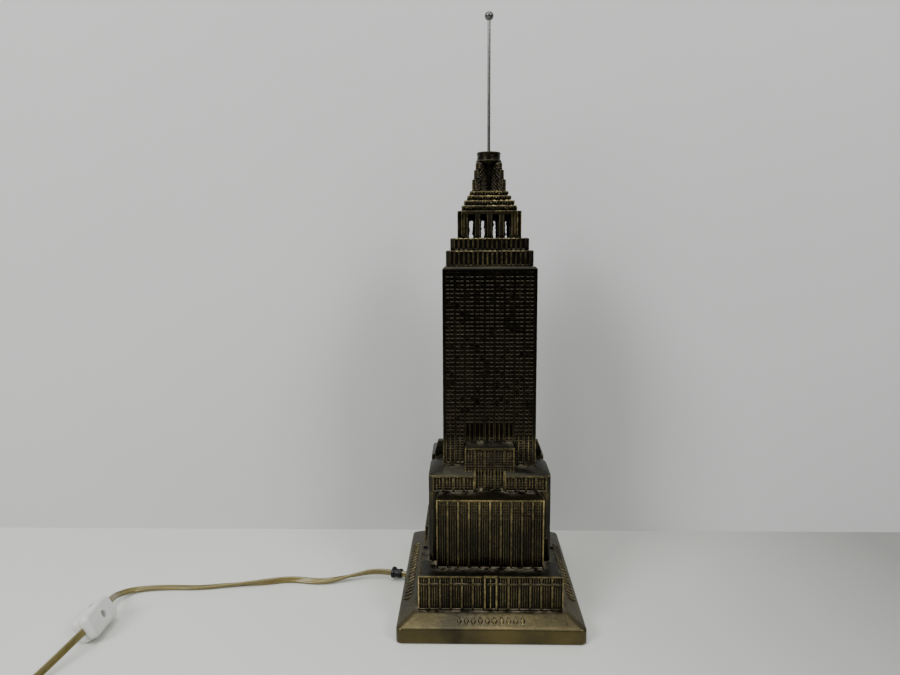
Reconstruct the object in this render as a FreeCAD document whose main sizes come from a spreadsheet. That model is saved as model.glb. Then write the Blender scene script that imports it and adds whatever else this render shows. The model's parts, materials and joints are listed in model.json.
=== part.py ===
import FreeCAD, Part
import math
import os
import re
import Sketcher

# A table lamp in the shape of a stepped tower: a hollow cast base, a hollow cast shaft and a
# lift-off cast crown. A threaded pipe clamps base and shaft together and carries the bulb socket.
# The flex leaves the left side of the plinth, runs to an in-line switch and on to a plug.
#
# Millimetres. +Z is up, +Y is away from the front, and the origin is the middle of the plinth's
# underside.

Vector = FreeCAD.Vector

DIMENSIONS = {
    # plinth
    "plinth_width": 145.6,
    "plinth_depth": 182.0,
    "plinth_side": 12.6,
    "plinth_corner": 1.5,
    "bevel_run": 12.5,
    "bevel_top": 19.3,
    "ledge_width": 120.6,
    "ledge_depth": 157.0,
    # podium, the lowest storeys
    "podium_width": 112.8,
    "podium_depth": 151.0,
    "podium_top": 47.2,
    "podium_roof_top": 47.5,
    "podium_jog": 3.0,
    "podium_jog_length": 40.0,
    # ribbed panel and the wider block behind it
    "panel_width": 85.0,
    "panel_depth": 121.4,
    "panel_top": 103.1,
    "wing_foot": 105.0,
    "block_width": 98.3,
    "block_depth": 95.6,
    "block_chamfer": 3.2,
    "wing_top": 118.2,
    "notch_width": 16.0,
    # shaft
    "shaft_width": 75.0,
    "shaft_depth": 75.4,
    "shaft_foot": 124.9,
    "shaft_top": 284.1,
    "rim_top": 285.9,
    "rim_inset": 1.6,
    "bay_width": 39.8,
    "bay_depth": 89.0,
    "bay_top": 140.3,
    "bay_roof_top": 143.8,
    "stem_width": 23.9,
    "stem_gap": 0.15,
    "side_bay_reach": 91.0,
    "side_bay_top": 127.0,
    "side_bay_roof_top": 135.0,
    # castings
    "wall": 3.0,
    "seat_gap": 0.05,
    "base_opening": 60.0,
    "crown_opening": 58.0,
    "top_plate": 3.1,
    "panel_roof_inset": 2.0,
    "lug_reach": 28.0,
    "lug_width": 18.0,
    "lug_height": 8.0,
    "lug_top": 214.0,
    # crown
    "crown_foot": 286.2,
    "skirt_width": 57.2,
    "skirt_foot": 280.2,
    "crown_bore": 52.0,
    "tier_one_width": 69.6,
    "tier_one_top": 297.4,
    "tier_two_width": 62.8,
    "tier_two_top": 307.2,
    "tier_corner": 3.0,
    "lantern_face": 45.2,
    "lantern_width": 51.2,
    "lantern_top": 328.0,
    "lantern_bore": 38.0,
    "opening_width": 6.3,
    "opening_pitch": 9.7,
    "opening_top": 325.8,
    "step_a_width": 43.6,
    "step_a_top": 333.0,
    "step_b_width": 39.0,
    "step_b_top": 336.6,
    "step_c_width": 34.4,
    "step_c_top": 340.4,
    "step_d_width": 30.6,
    "step_bore": 30.0,
    "top_bore": 24.0,
    "top_ceiling": 341.5,
    "mast_foot": 346.3,
    "mast_top": 368.5,
    "mast_radius": 4.8,
    "buttress_a_reach": 32.5,
    "buttress_a_top": 355.0,
    "buttress_b_reach": 28.0,
    "buttress_b_top": 363.0,
    "buttress_c_reach": 24.3,
    "fin_thickness": 5.0,
    "cap_radius": 10.25,
    "cap_ring_foot": 369.4,
    "cap_ring_top": 371.2,
    "cap_neck_foot": 372.2,
    "cap_top": 377.0,
    # antenna
    "rod_radius": 1.25,
    "rod_foot": 335.0,
    "rod_top": 481.0,
    "ball_radius": 3.6,
    "ball_centre": 483.2,
    "rod_nut_radius": 3.2,
    "rod_nut_height": 2.6,
    # underside
    "felt_thickness": 1.0,
    "cover_thickness": 1.6,
    "cover_gap": 0.3,
    "boss_x": 58.0,
    "boss_y": 76.0,
    "boss_radius": 4.5,
    "screw_radius": 1.4,
    "screw_length": 9.0,
    "head_radius": 3.2,
    "head_height": 1.5,
    # pipe, bars and nuts
    "pipe_radius": 5.0,
    "pipe_bore": 3.3,
    "pipe_foot": 103.0,
    "pipe_top": 234.0,
    "bar_width": 14.0,
    "bar_thickness": 2.5,
    "bar_underside": 112.45,
    "low_bar_length": 72.0,
    "high_bar_length": 66.0,
    "nut_radius": 8.0,
    "nut_height": 4.0,
    "washer_radius": 9.0,
    "washer_thickness": 1.2,
    # socket and bulb
    "socket_foot": 228.0,
    "socket_top": 256.0,
    "socket_radius": 9.5,
    "socket_bore": 7.2,
    "socket_floor": 242.9,
    "socket_ceiling": 239.0,
    "socket_seat": 235.5,
    "contact_radius": 3.3,
    "contact_foot": 240.0,
    "contact_shoulder": 241.2,
    "contact_top": 243.8,
    "shell_radius": 6.6,
    "shell_bore": 6.1,
    "shell_top": 255.5,
    "lead_radius": 0.9,
    "lead_across": 1.4,
    "lead_foot": 233.2,
    "bulb_radius": 11.0,
    "bulb_middle": 280.5,
    "bulb_half_height": 17.3,
    "glass": 0.7,
    "neck_radius": 5.2,
    "neck_foot": 247.8,
    "flare_foot": 258.8,
    "flare_height": 17.0,
    "tip_foot": 243.9,
    "tip_radius": 2.2,
    "cap_foot": 244.8,
    "cap_shoulder": 246.4,
    "cap_bore": 5.35,
    "cap_outer": 5.85,
    "cap_rim": 258.6,
    "stem_foot": 248.5,
    "stem_taper_top": 254.0,
    "stem_tip": 265.0,
    # flex
    "cord_width": 5.6,
    "cord_hole": 9.0,
    "bushing_bore": 2.9,
    "bushing_length": 8.7,
    "flange_radius": 5.0,
    "flange_foot": 6.6,
    "bushing_place": 6.4,
    # in-line switch
    "switch_length": 38.6,
    "switch_width": 20.0,
    "switch_thickness": 15.0,
    "switch_lean": 29.0,
    "wheel_radius": 5.0,
    "wheel_thickness": 3.4,
    "wheel_across": 6.2,
    "wheel_along": -1.7,
    "axle_radius": 1.5,
    "axle_half": 3.4,
    "case_corner": 4.5,
    "case_round": 3.4,
    "shell_gap": 0.04,
    "fixing_along": -0.9,
    "fixing_across": 0.3,
    "wire_across": 6.5,
    "contact_across": 5.2,
    # coil of spare flex and plug
    "coil_inner": 23.2,
    "coil_outer": 36.8,
    "coil_foot": 0.6,
    "coil_height": 11.3,
    "tie_thickness": 0.55,
    "plug_length": 26.0,
    "plug_width": 21.0,
    "plug_thickness": 13.0,
    "plug_neck": 10.0,
    "plug_round": 2.4,
    "blade_length": 17.5,
    "blade_pitch": 12.7,
    "blade_thickness": 1.5,
    "line_blade_width": 6.35,
    "neutral_blade_width": 7.9,
}

# the flex between the plinth and the switch: out of the side, down to the floor, and round
LAMP_ROUTE = [
    (-71.3, 9.0, 6.0),
    (-97.0, 16.6, 7.3),
    (-123.5, 9.8, 4.6),
    (-148.0, 0.9, 2.85),
    (-177.0, 6.9, 2.85),
    (-203.0, -1.3, 2.85),
    (-229.0, -3.2, 2.85),
    (-254.0, -8.8, 2.85),
    (-279.0, -8.6, 2.85),
    (-300.0, -11.0, 2.85),
    (-312.5, -17.5, 3.4),
    (-318.3, -29.5, 5.6),
    (-315.9, -41.9, 9.4),
    (-313.1, -52.7, 11.4),
    (-312.67, -58.51, 11.4),
]
# from the switch down to the coil of spare flex
SUPPLY_ROUTE = [
    (-309.8, -97.0, 11.4),
    (-311.2, -109.0, 10.4),
    (-315.0, -126.0, 6.9),
    (-319.2, -149.0, 4.0),
    (-321.6, -174.5, 3.4),
    (-321.1, -198.0, 3.4),
]
# from the top of the coil down to the plug
PLUG_ROUTE = [
    (-295.8, -235.8, 9.1),
    (-283.0, -239.9, 8.8),
    (-266.0, -242.9, 7.3),
    (-250.0, -243.4, 6.6),
]
# inside the lamp, from the hole in the plinth to the top of the pipe
INNER_ROUTE = [(-71.3, 9.0, 6.0), (0.0, 0.0, 6.0), (0.0, 0.0, 233.0)]
COIL_CENTRE = (-286.0, -203.0)
CORNER_SHARE = 0.45  # of the shorter run, taken by each arc of a route
# the filament's support wires and the filament itself, as one thin loop
FILAMENT_ROUTE = [(-2.2, 0.0, 265.3), (-4.0, 0.0, 281.0), (4.0, 0.0, 281.0), (2.2, 0.0, 265.3)]
FILAMENT_RADIUS = 0.3
WHEEL_GROOVES = 20
OPENINGS_PER_FACE = 4
SIDEWAYS = FreeCAD.Rotation(FreeCAD.Vector(0, 1, 0), 90)  # turns Z to X
NEAR = 0.01  # how close two places are to count as the same

doc = FreeCAD.newDocument("TowerLamp")
sheet = doc.addObject("Spreadsheet::Sheet", "Dims")
made = {}


def fill_sheet():
    """Write every driving dimension into the spreadsheet, under its own alias."""
    for row, (alias, value) in enumerate(DIMENSIONS.items(), start=1):
        sheet.set(f"A{row}", alias.replace("_", " "))
        sheet.set(f"B{row}", str(value))
        sheet.setAlias(f"B{row}", alias)
    doc.recompute()


def size(alias):
    """A driving dimension as the spreadsheet holds it."""
    return float(sheet.get(alias))


def bound(text):
    """An expression over aliases, as FreeCAD wants it: each alias is named in the sheet."""
    text = str(text)
    word = lambda m: "Dims." + m.group(0) if m.group(0) in DIMENSIONS else m.group(0)
    return re.sub(r"[a-z][a-z_]+", word, text)


def new_body(label):
    """A sub-part's own PartDesign body."""
    body = doc.addObject("PartDesign::Body", "Body_" + label)
    body.Label = label
    made[label] = body
    return body


def bind(feature, **texts):
    """Tie properties of a feature to the spreadsheet."""
    for name, text in texts.items():
        feature.setExpression(name, bound(text))


def move_to(feature, x, y, z):
    """Tie a feature's place in its body to the spreadsheet."""
    for axis, text in zip("xyz", (x, y, z)):
        feature.setExpression("Placement.Base." + axis, bound(text))


def kind_of(shape, cut):
    """The name of an adding or a removing primitive."""
    return ("PartDesign::Subtractive" if cut else "PartDesign::Additive") + shape


def block(body, name, across, along, low, high, x="0", y="0", cut=False):
    """A box centred on (x, y), across wide in X and along in Y, from low to high in Z."""
    box = body.newObject(kind_of("Box", cut), name)
    bind(box, Length=across, Width=along, Height=f"({high}) - ({low})")
    move_to(box, f"({x}) - ({across}) / 2", f"({y}) - ({along}) / 2", low)
    doc.recompute()
    return box


def frustum(body, name, foot, top, low, high, cut=False):
    """A four-sided frustum about the Z axis; foot and top are (across, along)."""
    wedge = body.newObject(kind_of("Wedge", cut), name)
    wedge.Placement = FreeCAD.Placement(Vector(), FreeCAD.Rotation(Vector(1, 0, 0), 90))
    bind(wedge, Xmin=f"0 - ({foot[0]}) / 2", Xmax=f"({foot[0]}) / 2")
    bind(wedge, Zmin=f"0 - ({foot[1]}) / 2", Zmax=f"({foot[1]}) / 2")
    bind(wedge, X2min=f"0 - ({top[0]}) / 2", X2max=f"({top[0]}) / 2")
    bind(wedge, Z2min=f"0 - ({top[1]}) / 2", Z2max=f"({top[1]}) / 2")
    bind(wedge, Ymin="0", Ymax=f"({high}) - ({low})")
    move_to(wedge, "0", "0", low)
    doc.recompute()
    return wedge


def rod(body, name, radius, length, foot=("0", "0", "0"), turn=None, cut=False):
    """A cylinder that starts at foot and runs along Z, or along Z turned by turn."""
    cylinder = body.newObject(kind_of("Cylinder", cut), name)
    if turn is not None:
        cylinder.Placement = FreeCAD.Placement(Vector(), turn)
    bind(cylinder, Radius=radius, Height=length)
    move_to(cylinder, *foot)
    doc.recompute()
    return cylinder


def hexagon(body, name, radius, length, foot=("0", "0", "0"), cut=False):
    """A hexagonal prism along Z."""
    prism = body.newObject(kind_of("Prism", cut), name)
    prism.Polygon = 6
    bind(prism, Circumradius=radius, Height=length)
    move_to(prism, *foot)
    doc.recompute()
    return prism


def rounded(body, feature, radius, wanted, chamfer=False):
    """Fillet or chamfer the edges of a feature that wanted(edge) picks."""
    names = [f"Edge{n}" for n, edge in enumerate(feature.Shape.Edges, start=1) if wanted(edge)]
    kind = "Chamfer" if chamfer else "Fillet"
    dressed = body.newObject("PartDesign::" + kind, f"{kind}_{feature.Name}")
    dressed.Base = (feature, names)
    bind(dressed, **{"Size" if chamfer else "Radius": radius})
    doc.recompute()
    return dressed


def turned(label, profile):
    """A piece turned about Z from a closed profile of (radius, height) corners."""
    body = new_body(label)
    sketch = body.newObject("Sketcher::SketchObject", "Profile_" + label)
    plane = [o for o in body.Origin.OriginFeatures if o.Role == "XZ_Plane"][0]
    sketch.AttachmentSupport = [(plane, "")]
    sketch.MapMode = "FlatFace"
    # rough places inside a unit ring: the constraints below bring each corner to its place
    count = len(profile)
    angles = [k * math.tau / count for k in range(count)]
    rough = [Vector(2 + math.cos(angle), math.sin(angle), 0) for angle in angles]
    for k in range(count):
        sketch.addGeometry(Part.LineSegment(rough[k], rough[(k + 1) % count]), False)
    for k in range(count):
        sketch.addConstraint(Sketcher.Constraint("Coincident", k, 2, (k + 1) % count, 1))
    for k, corner in enumerate(profile):
        for kind, text, guess in zip(("DistanceX", "DistanceY"), corner, rough[k]):
            number = sketch.addConstraint(Sketcher.Constraint(kind, -1, 1, k, 1, float(guess)))
            sketch.setExpression(f"Constraints[{number}]", bound(text))
    doc.recompute()
    turn = body.newObject("PartDesign::Revolution", "Turn_" + label)
    turn.Profile = sketch
    turn.ReferenceAxis = (sketch, ["V_Axis"])
    turn.Angle = 360
    doc.recompute()
    return body


def upright(edge):
    """Whether a straight edge climbs, as a vertical or a hip edge does."""
    return abs(edge.tangentAt(edge.FirstParameter).z) > 0.2


def route_wire(route):
    """Straight runs joined by tangent arcs, each as large as its two runs allow; and its radii."""
    points = [Vector(*p) for p in route]
    edges, radii, start = [], [], points[0]
    for before, corner, after in zip(points, points[1:], points[2:]):
        come, go = corner - before, after - corner
        half_turn = come.getAngle(go) / 2
        reach = CORNER_SHARE * min(come.Length, go.Length)
        radii.append(reach / math.tan(half_turn))
        come.normalize()
        go.normalize()
        first, last = corner - come * reach, corner + go * reach
        inward = (go - come).normalize()
        middle = corner + inward * (radii[-1] / math.cos(half_turn) - radii[-1])
        edges.append(Part.LineSegment(start, first).toShape())
        edges.append(Part.Arc(first, middle, last).toShape())
        start = last
    edges.append(Part.LineSegment(start, points[-1]).toShape())
    return Part.Wire(edges), radii


def tube(label, route, radius):
    """A round tube along a route, and a check of its volume against section times length."""
    wire, radii = route_wire(route)
    ahead = Vector(*route[1]) - Vector(*route[0])
    ring = Part.Wire(Part.makeCircle(radius, Vector(*route[0]), ahead))
    piece = doc.addObject("Part::Feature", "Tube_" + label)
    piece.Label = label
    piece.Shape = wire.makePipeShell([ring], True, True)
    made[label] = piece
    expected = math.pi * radius**2 * wire.Length
    share = piece.Shape.Volume / expected
    print(f"{label}: {wire.Length:.1f} mm, volume {share:.4f} of section x length")
    print("   radii " + " ".join(f"{r:.1f}" for r in radii))
    if abs(share - 1) > 0.01:
        raise RuntimeError(f"{label}: the tube's volume is off")
    return piece


def plinth_corners(body):
    """An upright flat cut across each corner of the plinth, on its side and its bevel alike."""
    wide = 20
    for x_way, y_way in ((1, 1), (1, -1), (-1, -1), (-1, 1)):
        turning = FreeCAD.Rotation(Vector(0, 0, 1), math.degrees(math.atan2(y_way, x_way)))
        corner = body.newObject("PartDesign::SubtractiveBox", "PlinthCorner")
        side = turning.multVec(Vector(0, -wide / 2, 0))
        x = f"{x_way} * (plinth_width - plinth_corner) / 2 + ({side.x})"
        y = f"{y_way} * (plinth_depth - plinth_corner) / 2 + ({side.y})"
        corner.Placement = FreeCAD.Placement(Vector(), turning)
        bind(corner, Length=wide, Width=wide, Height="bevel_top")
        move_to(corner, x, y, "0")
        doc.recompute()


def base_outside(body):
    """Plinth, podium, panel and block with its hipped roof, still solid."""
    block(body, "PlinthSide", "plinth_width", "plinth_depth", "0", "plinth_side")
    bevel_foot, bevel_top = ("plinth_width", "plinth_depth"), ("ledge_width", "ledge_depth")
    frustum(body, "PlinthBevel", bevel_foot, bevel_top, "plinth_side", "bevel_top")
    plinth_corners(body)
    block(body, "Podium", "podium_width", "podium_depth", "bevel_top - wall", "podium_top")
    podium, roof = ("podium_width", "podium_depth"), ("block_width", "panel_depth")
    frustum(body, "PodiumRoof", podium, roof, "podium_top", "podium_roof_top")
    for side in (-1, 1):
        middle = f"{side} * (podium_width - podium_jog) / 2"
        top = "podium_roof_top"
        block(body, "PodiumJog", "podium_jog", "podium_jog_length", "bevel_top", top, x=middle, cut=True)
    block(body, "Panel", "panel_width", "panel_depth", "podium_top - wall", "panel_top")
    panel = ("panel_width", "panel_depth")
    shoulder = ("panel_width - 2 * panel_roof_inset", "block_depth")
    frustum(body, "PanelRoof", panel, shoulder, "panel_top", "wing_foot")
    block(body, "Block", "block_width", "block_depth", "podium_top - wall", "wing_top")
    eaves, ridge = ("block_width", "block_depth"), ("shaft_width", "shaft_depth")
    hips = frustum(body, "HipRoof", eaves, ridge, "wing_top", "shaft_foot")
    half_width, half_depth = size("block_width") / 2, size("block_depth") / 2

    def block_corner(edge):
        low = min(edge.Vertexes, key=lambda v: v.Z).Point
        away = max(abs(abs(low.x) - half_width), abs(abs(low.y) - half_depth))
        return upright(edge) and away < NEAR

    rounded(body, hips, "block_chamfer", block_corner, chamfer=True)
    for side in (-1, 1):
        out = f"{side} * (block_width + side_bay_reach) / 4"
        deep = "(block_width - side_bay_reach) / 2"
        block(body, "SideNotch", deep, "notch_width", "podium_roof_top", "shaft_foot", x=out, cut=True)
        back = f"{side} * (block_depth + shaft_depth) / 4"
        far = "(block_depth - shaft_depth) / 2"
        wide = "stem_width + 2 * stem_gap"
        block(body, "StemRecess", wide, far, "wing_foot", "shaft_foot", y=back, cut=True)


def base_hollow(body):
    """The room inside the base, and the opening under the shaft."""
    plate_top = "felt_thickness + cover_thickness"
    inner = ("plinth_width - 2 * wall", "plinth_depth - 2 * wall")
    ledge = ("plinth_width - 10", "plinth_depth - 10")
    block(body, "CoverRecess", *inner, "0", plate_top, cut=True)
    block(body, "PlinthRoom", *ledge, plate_top, "plinth_side - wall", cut=True)
    shrunk = ("ledge_width - 10", "ledge_depth - 10")
    frustum(body, "BevelRoom", ledge, shrunk, "plinth_side - wall", "bevel_top - wall", cut=True)
    narrow = "podium_width - 2 * podium_jog - 2 * wall"
    ceiling = "podium_top - wall"
    block(body, "PodiumRoom", narrow, "podium_depth - 2 * wall", "bevel_top - wall", ceiling, cut=True)
    wide, deep = "panel_width - 2 * wall", "panel_depth - 2 * wall"
    block(body, "PanelRoom", wide, deep, ceiling, "panel_top - wall", cut=True)
    inside = "side_bay_reach - 2 * wall"
    block(body, "BlockRoom", inside, "block_depth - 2 * wall", ceiling, "wing_foot - wall", cut=True)
    low, high = "wing_foot - wall", "wing_top - wall"
    block(body, "WingRoom", inside, "shaft_depth - 2 * wall", low, high, cut=True)
    block(body, "ShaftOpening", "base_opening", "base_opening", high, "shaft_foot", cut=True)
    for across in (-1, 1):
        for along in (-1, 1):
            place = (f"{across} * boss_x", f"{along} * boss_y", plate_top)
            rod(body, "ScrewBoss", "boss_radius", "plinth_side", foot=place)
            rod(body, "ScrewHole", "screw_radius + 0.1", "screw_length", foot=place, cut=True)
    x, y, z = LAMP_ROUTE[0]
    outside = (f"{x - 5}", f"{y}", f"{z + 0.1}")
    rod(body, "CordHole", "cord_hole / 2", "14", foot=outside, turn=SIDEWAYS, cut=True)


def base_casting():
    body = new_body("base_casting")
    base_outside(body)
    base_hollow(body)


def shaft_casting():
    body = new_body("shaft_casting")
    foot = "shaft_foot + seat_gap"
    block(body, "Shaft", "shaft_width", "shaft_depth", foot, "shaft_top")
    whole = ("shaft_width", "shaft_depth")
    inset = ("shaft_width - 2 * rim_inset", "shaft_depth - 2 * rim_inset")
    frustum(body, "Rim", whole, inset, "shaft_top", "rim_top")
    block(body, "Bay", "bay_width", "bay_depth", "wing_top", "bay_top")
    bay, bay_ridge = ("bay_width", "bay_depth"), ("bay_width - 3", "shaft_depth")
    frustum(body, "BayRoof", bay, bay_ridge, "bay_top", "bay_roof_top")
    block(body, "SideBay", "side_bay_reach", "notch_width", "wing_top", "side_bay_top")
    side, side_ridge = ("side_bay_reach", "notch_width"), ("shaft_width", "notch_width - 2")
    frustum(body, "SideRoof", side, side_ridge, "side_bay_top", "side_bay_roof_top")
    eaves, ridge = ("block_width", "block_depth"), ("shaft_width", "shaft_depth")
    frustum(body, "RoofSeat", eaves, ridge, "wing_top + seat_gap", foot, cut=True)
    block(body, "FloorSeat", "block_width", "block_depth", "wing_top - 5", "wing_top + seat_gap", cut=True)
    for way in (-1, 1):
        middle = f"{way} * ((bay_depth + shaft_depth) / 4 + stem_gap)"
        reach = "(bay_depth - shaft_depth) / 2 - 2 * stem_gap"
        block(body, "Stem", "stem_width", reach, "wing_foot + seat_gap", "bay_top", y=middle)
    wide, deep, ceiling = "shaft_width - 2 * wall", "shaft_depth - 2 * wall", "shaft_top - top_plate"
    block(body, "Room", wide, deep, "shaft_foot - 1", ceiling, cut=True)
    block(body, "TopOpening", "crown_opening", "crown_opening", ceiling, "rim_top + 1", cut=True)
    for side in (-1, 1):
        reach = "shaft_width / 2 - wall - lug_reach + 0.5"
        middle = f"{side} * (shaft_width / 2 - wall + lug_reach + 0.5) / 2"
        block(body, "Lug", reach, "lug_width", "lug_top - lug_height", "lug_top", x=middle)


def crown_openings(body):
    """Four slots in each face of the lantern."""
    for place in range(OPENINGS_PER_FACE):
        along = f"({place} - ({OPENINGS_PER_FACE} - 1) / 2) * opening_pitch"
        for name, across, deep, x, y in (
            ("FrontSlot", "opening_width", "lantern_width + 2", along, "0"),
            ("SideSlot", "lantern_width + 2", "opening_width", "0", along),
        ):
            block(body, name, across, deep, "tier_two_top", "opening_top", x=x, y=y, cut=True)


def mast(body):
    """A round core and four diagonal buttresses in three steps."""
    rod(body, "MastCore", "mast_radius", "mast_top - mast_foot", foot=("0", "0", "mast_foot"))
    for turn in (45, -45):
        turning = FreeCAD.Rotation(Vector(0, 0, 1), turn)
        low = "mast_foot"
        for step, high in zip("abc", ("buttress_a_top", "buttress_b_top", "mast_top")):
            reach = f"buttress_{step}_reach"
            fin = body.newObject("PartDesign::AdditiveBox", "Buttress")
            corner = turning.multVec(Vector(-size(reach) / 2, -size("fin_thickness") / 2, 0))
            fin.Placement = FreeCAD.Placement(corner, turning)
            bind(fin, Length=reach, Width="fin_thickness", Height=f"{high} - {low}")
            fin.setExpression("Placement.Base.z", bound(low))
            doc.recompute()
            low = high


def crown_casting():
    body = new_body("crown_casting")
    width = size("tier_one_width"), size("tier_two_width")

    def tier_corner(edge):
        low = edge.Vertexes[0].Point
        return upright(edge) and min(abs(abs(low.x) - w / 2) for w in width) < NEAR

    block(body, "TierOne", "tier_one_width", "tier_one_width", "crown_foot", "tier_one_top")
    tiers = block(body, "TierTwo", "tier_two_width", "tier_two_width", "tier_one_top", "tier_two_top")
    rounded(body, tiers, "tier_corner", tier_corner)
    block(body, "LanternFront", "lantern_face", "lantern_width", "tier_two_top", "lantern_top")
    block(body, "LanternSide", "lantern_width", "lantern_face", "tier_two_top", "lantern_top")
    low = "lantern_top"
    for step, high in zip("abcd", ("step_a_top", "step_b_top", "step_c_top", "mast_foot")):
        across = f"step_{step}_width"
        block(body, f"Step_{step}", across, across, low, high)
        low = high
    mast(body)
    block(body, "Skirt", "skirt_width", "skirt_width", "skirt_foot", "crown_foot")
    floor = "tier_two_top - wall"
    block(body, "CrownRoom", "crown_bore", "crown_bore", "skirt_foot", floor, cut=True)
    block(body, "LanternRoom", "lantern_bore", "lantern_bore", floor, "lantern_top", cut=True)
    block(body, "StepRoom", "step_bore", "step_bore", "lantern_top", "step_a_top", cut=True)
    block(body, "TopRoom", "top_bore", "top_bore", "step_a_top", "top_ceiling", cut=True)
    rod(body, "RodBore", "rod_radius + 0.1", "30", foot=("0", "0", "top_ceiling - 0.5"), cut=True)
    crown_openings(body)


def antenna():
    """Cap, rod, ball and the nut that holds them down."""
    bore, neck, top, foot = "rod_radius + 0.1", "cap_radius - 1", "cap_top", "mast_top"
    ring = [("cap_radius", "cap_ring_foot"), ("cap_radius", "cap_ring_top")]
    under, over = [(bore, foot), (neck, foot)], [(neck, "cap_neck_foot"), (neck, f"{top} - 1")]
    turned("mast_cap", under + ring + over + [("cap_radius - 2", top), (bore, top)])
    rod(new_body("antenna_rod"), "Rod", "rod_radius", "rod_top - rod_foot", foot=("0", "0", "rod_foot"))
    ball = new_body("antenna_ball")
    sphere = ball.newObject("PartDesign::AdditiveSphere", "Ball")
    bind(sphere, Radius="ball_radius")
    move_to(sphere, "0", "0", "ball_centre")
    doc.recompute()
    rod(ball, "BallBore", "rod_radius + 0.05", "6", foot=("0", "0", "rod_top - 5.95"), cut=True)
    nut = new_body("antenna_nut")
    seat = "top_ceiling - rod_nut_height - 0.05"
    hexagon(nut, "Nut", "rod_nut_radius", "rod_nut_height", foot=("0", "0", seat))
    rod(nut, "NutBore", "rod_radius + 0.05", "rod_nut_height", foot=("0", "0", seat), cut=True)


def underside():
    """Cover plate with countersunk screws, and the felt glued under it."""
    rim = "2 * (wall + cover_gap)"
    across, along = f"plinth_width - {rim}", f"plinth_depth - {rim}"
    felt = new_body("felt_pad")
    block(felt, "Felt", across, along, "0", "felt_thickness - 0.02")
    cover = new_body("bottom_cover")
    top = "felt_thickness + cover_thickness - 0.05"
    block(cover, "Plate", across, along, "felt_thickness", top)
    number = 0
    for x in (-1, 1):
        for y in (-1, 1):
            number += 1
            place = (f"{x} * boss_x", f"{y} * boss_y", "felt_thickness")
            sink = cover.newObject("PartDesign::SubtractiveCone", "Sink")
            bind(sink, Radius1="head_radius + 0.15", Radius2="screw_radius + 0.35")
            bind(sink, Height="cover_thickness")
            move_to(sink, *place)
            doc.recompute()
            head = [("0", "0.05"), ("head_radius", "0.05"), ("screw_radius", "head_height")]
            shank = [("screw_radius", "screw_length"), ("0", "screw_length")]
            screw = turned(f"cover_screw_{number}", head + shank)
            screw.Placement.Base = Vector(x * size("boss_x"), y * size("boss_y"), size("felt_thickness"))


def collar(label, inner, outer, low, high):
    """A plain ring or pipe about Z."""
    return turned(label, [(inner, low), (outer, low), (outer, high), (inner, high)])


def crossbar(label, length, foot):
    """A flat steel bar with a hole for the pipe."""
    bar = new_body(label)
    block(bar, "Bar", length, "bar_width", foot, f"{foot} + bar_thickness")
    rod(bar, "PipeHole", "pipe_radius + 0.1", "bar_thickness", foot=("0", "0", foot), cut=True)


def pipe_nut(label, foot):
    """A hexagonal nut on the pipe."""
    nut = new_body(label)
    hexagon(nut, "Nut", "nut_radius", "nut_height", foot=("0", "0", foot))
    rod(nut, "Bore", "pipe_radius + 0.05", "nut_height", foot=("0", "0", foot), cut=True)


def pipe_stack():
    """The threaded pipe and what it clamps."""
    collar("lamp_pipe", "pipe_bore", "pipe_radius", "pipe_foot", "pipe_top")
    crossbar("bottom_crossbar", "low_bar_length", "bar_underside")
    high = "bar_underside - seat_gap"
    low = f"{high} - washer_thickness"
    collar("bottom_washer", "pipe_radius + 0.1", "washer_radius", low, high)
    pipe_nut("bottom_nut", f"{low} - seat_gap - nut_height")
    crossbar("top_crossbar", "high_bar_length", "lug_top + seat_gap")
    pipe_nut("top_nut", "lug_top + 2 * seat_gap + bar_thickness")


def socket():
    """A small screw socket: insulating cup, brass shell, centre contact and two leads."""
    grip, bore, well = "pipe_radius + 0.05", "socket_bore", "contact_radius + 0.2"
    outside = [(grip, "socket_foot"), ("socket_radius", "socket_foot"), ("socket_radius", "socket_top")]
    upper = [(bore, "socket_top"), (bore, "socket_floor"), (well, "socket_floor")]
    lower = [(well, "socket_ceiling"), (bore, "socket_ceiling")]
    lower += [(bore, "socket_seat"), (grip, "socket_seat")]
    turned("socket_cup", outside + upper + lower)
    collar("socket_screw_shell", "shell_bore", "shell_radius", "socket_floor + 0.1", "shell_top")
    base = [("0", "contact_foot"), ("contact_radius", "contact_foot")]
    base.append(("contact_radius", "contact_shoulder"))
    turned("socket_contact", base + [("1.2", "contact_top"), ("0", "contact_top")])
    for label, side in (("lead_line", -1), ("lead_neutral", 1)):
        foot = (f"{side} * lead_across", "0", "lead_foot")
        rod(new_body(label), "Lead", "lead_radius", "contact_foot - 0.2 - lead_foot", foot=foot)


def bulb_shape(body, name, inset, cut):
    """A neck, a flare and an ellipsoid: the outside of the glass, or its inside."""
    neck = f"neck_radius - {inset}"
    rod(body, name + "Neck", neck, "flare_foot - neck_foot", foot=("0", "0", "neck_foot"), cut=cut)
    flare = body.newObject(kind_of("Cone", cut), name + "Flare")
    bind(flare, Radius1=neck, Radius2=f"bulb_radius - 0.5 - {inset}", Height="flare_height")
    move_to(flare, "0", "0", "flare_foot")
    doc.recompute()
    dome = body.newObject(kind_of("Ellipsoid", cut), name + "Dome")
    round_about = f"bulb_radius - {inset}"
    bind(dome, Radius1=f"bulb_half_height - {inset}", Radius2=round_about, Radius3=round_about)
    move_to(dome, "0", "0", "bulb_middle")
    doc.recompute()


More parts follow.
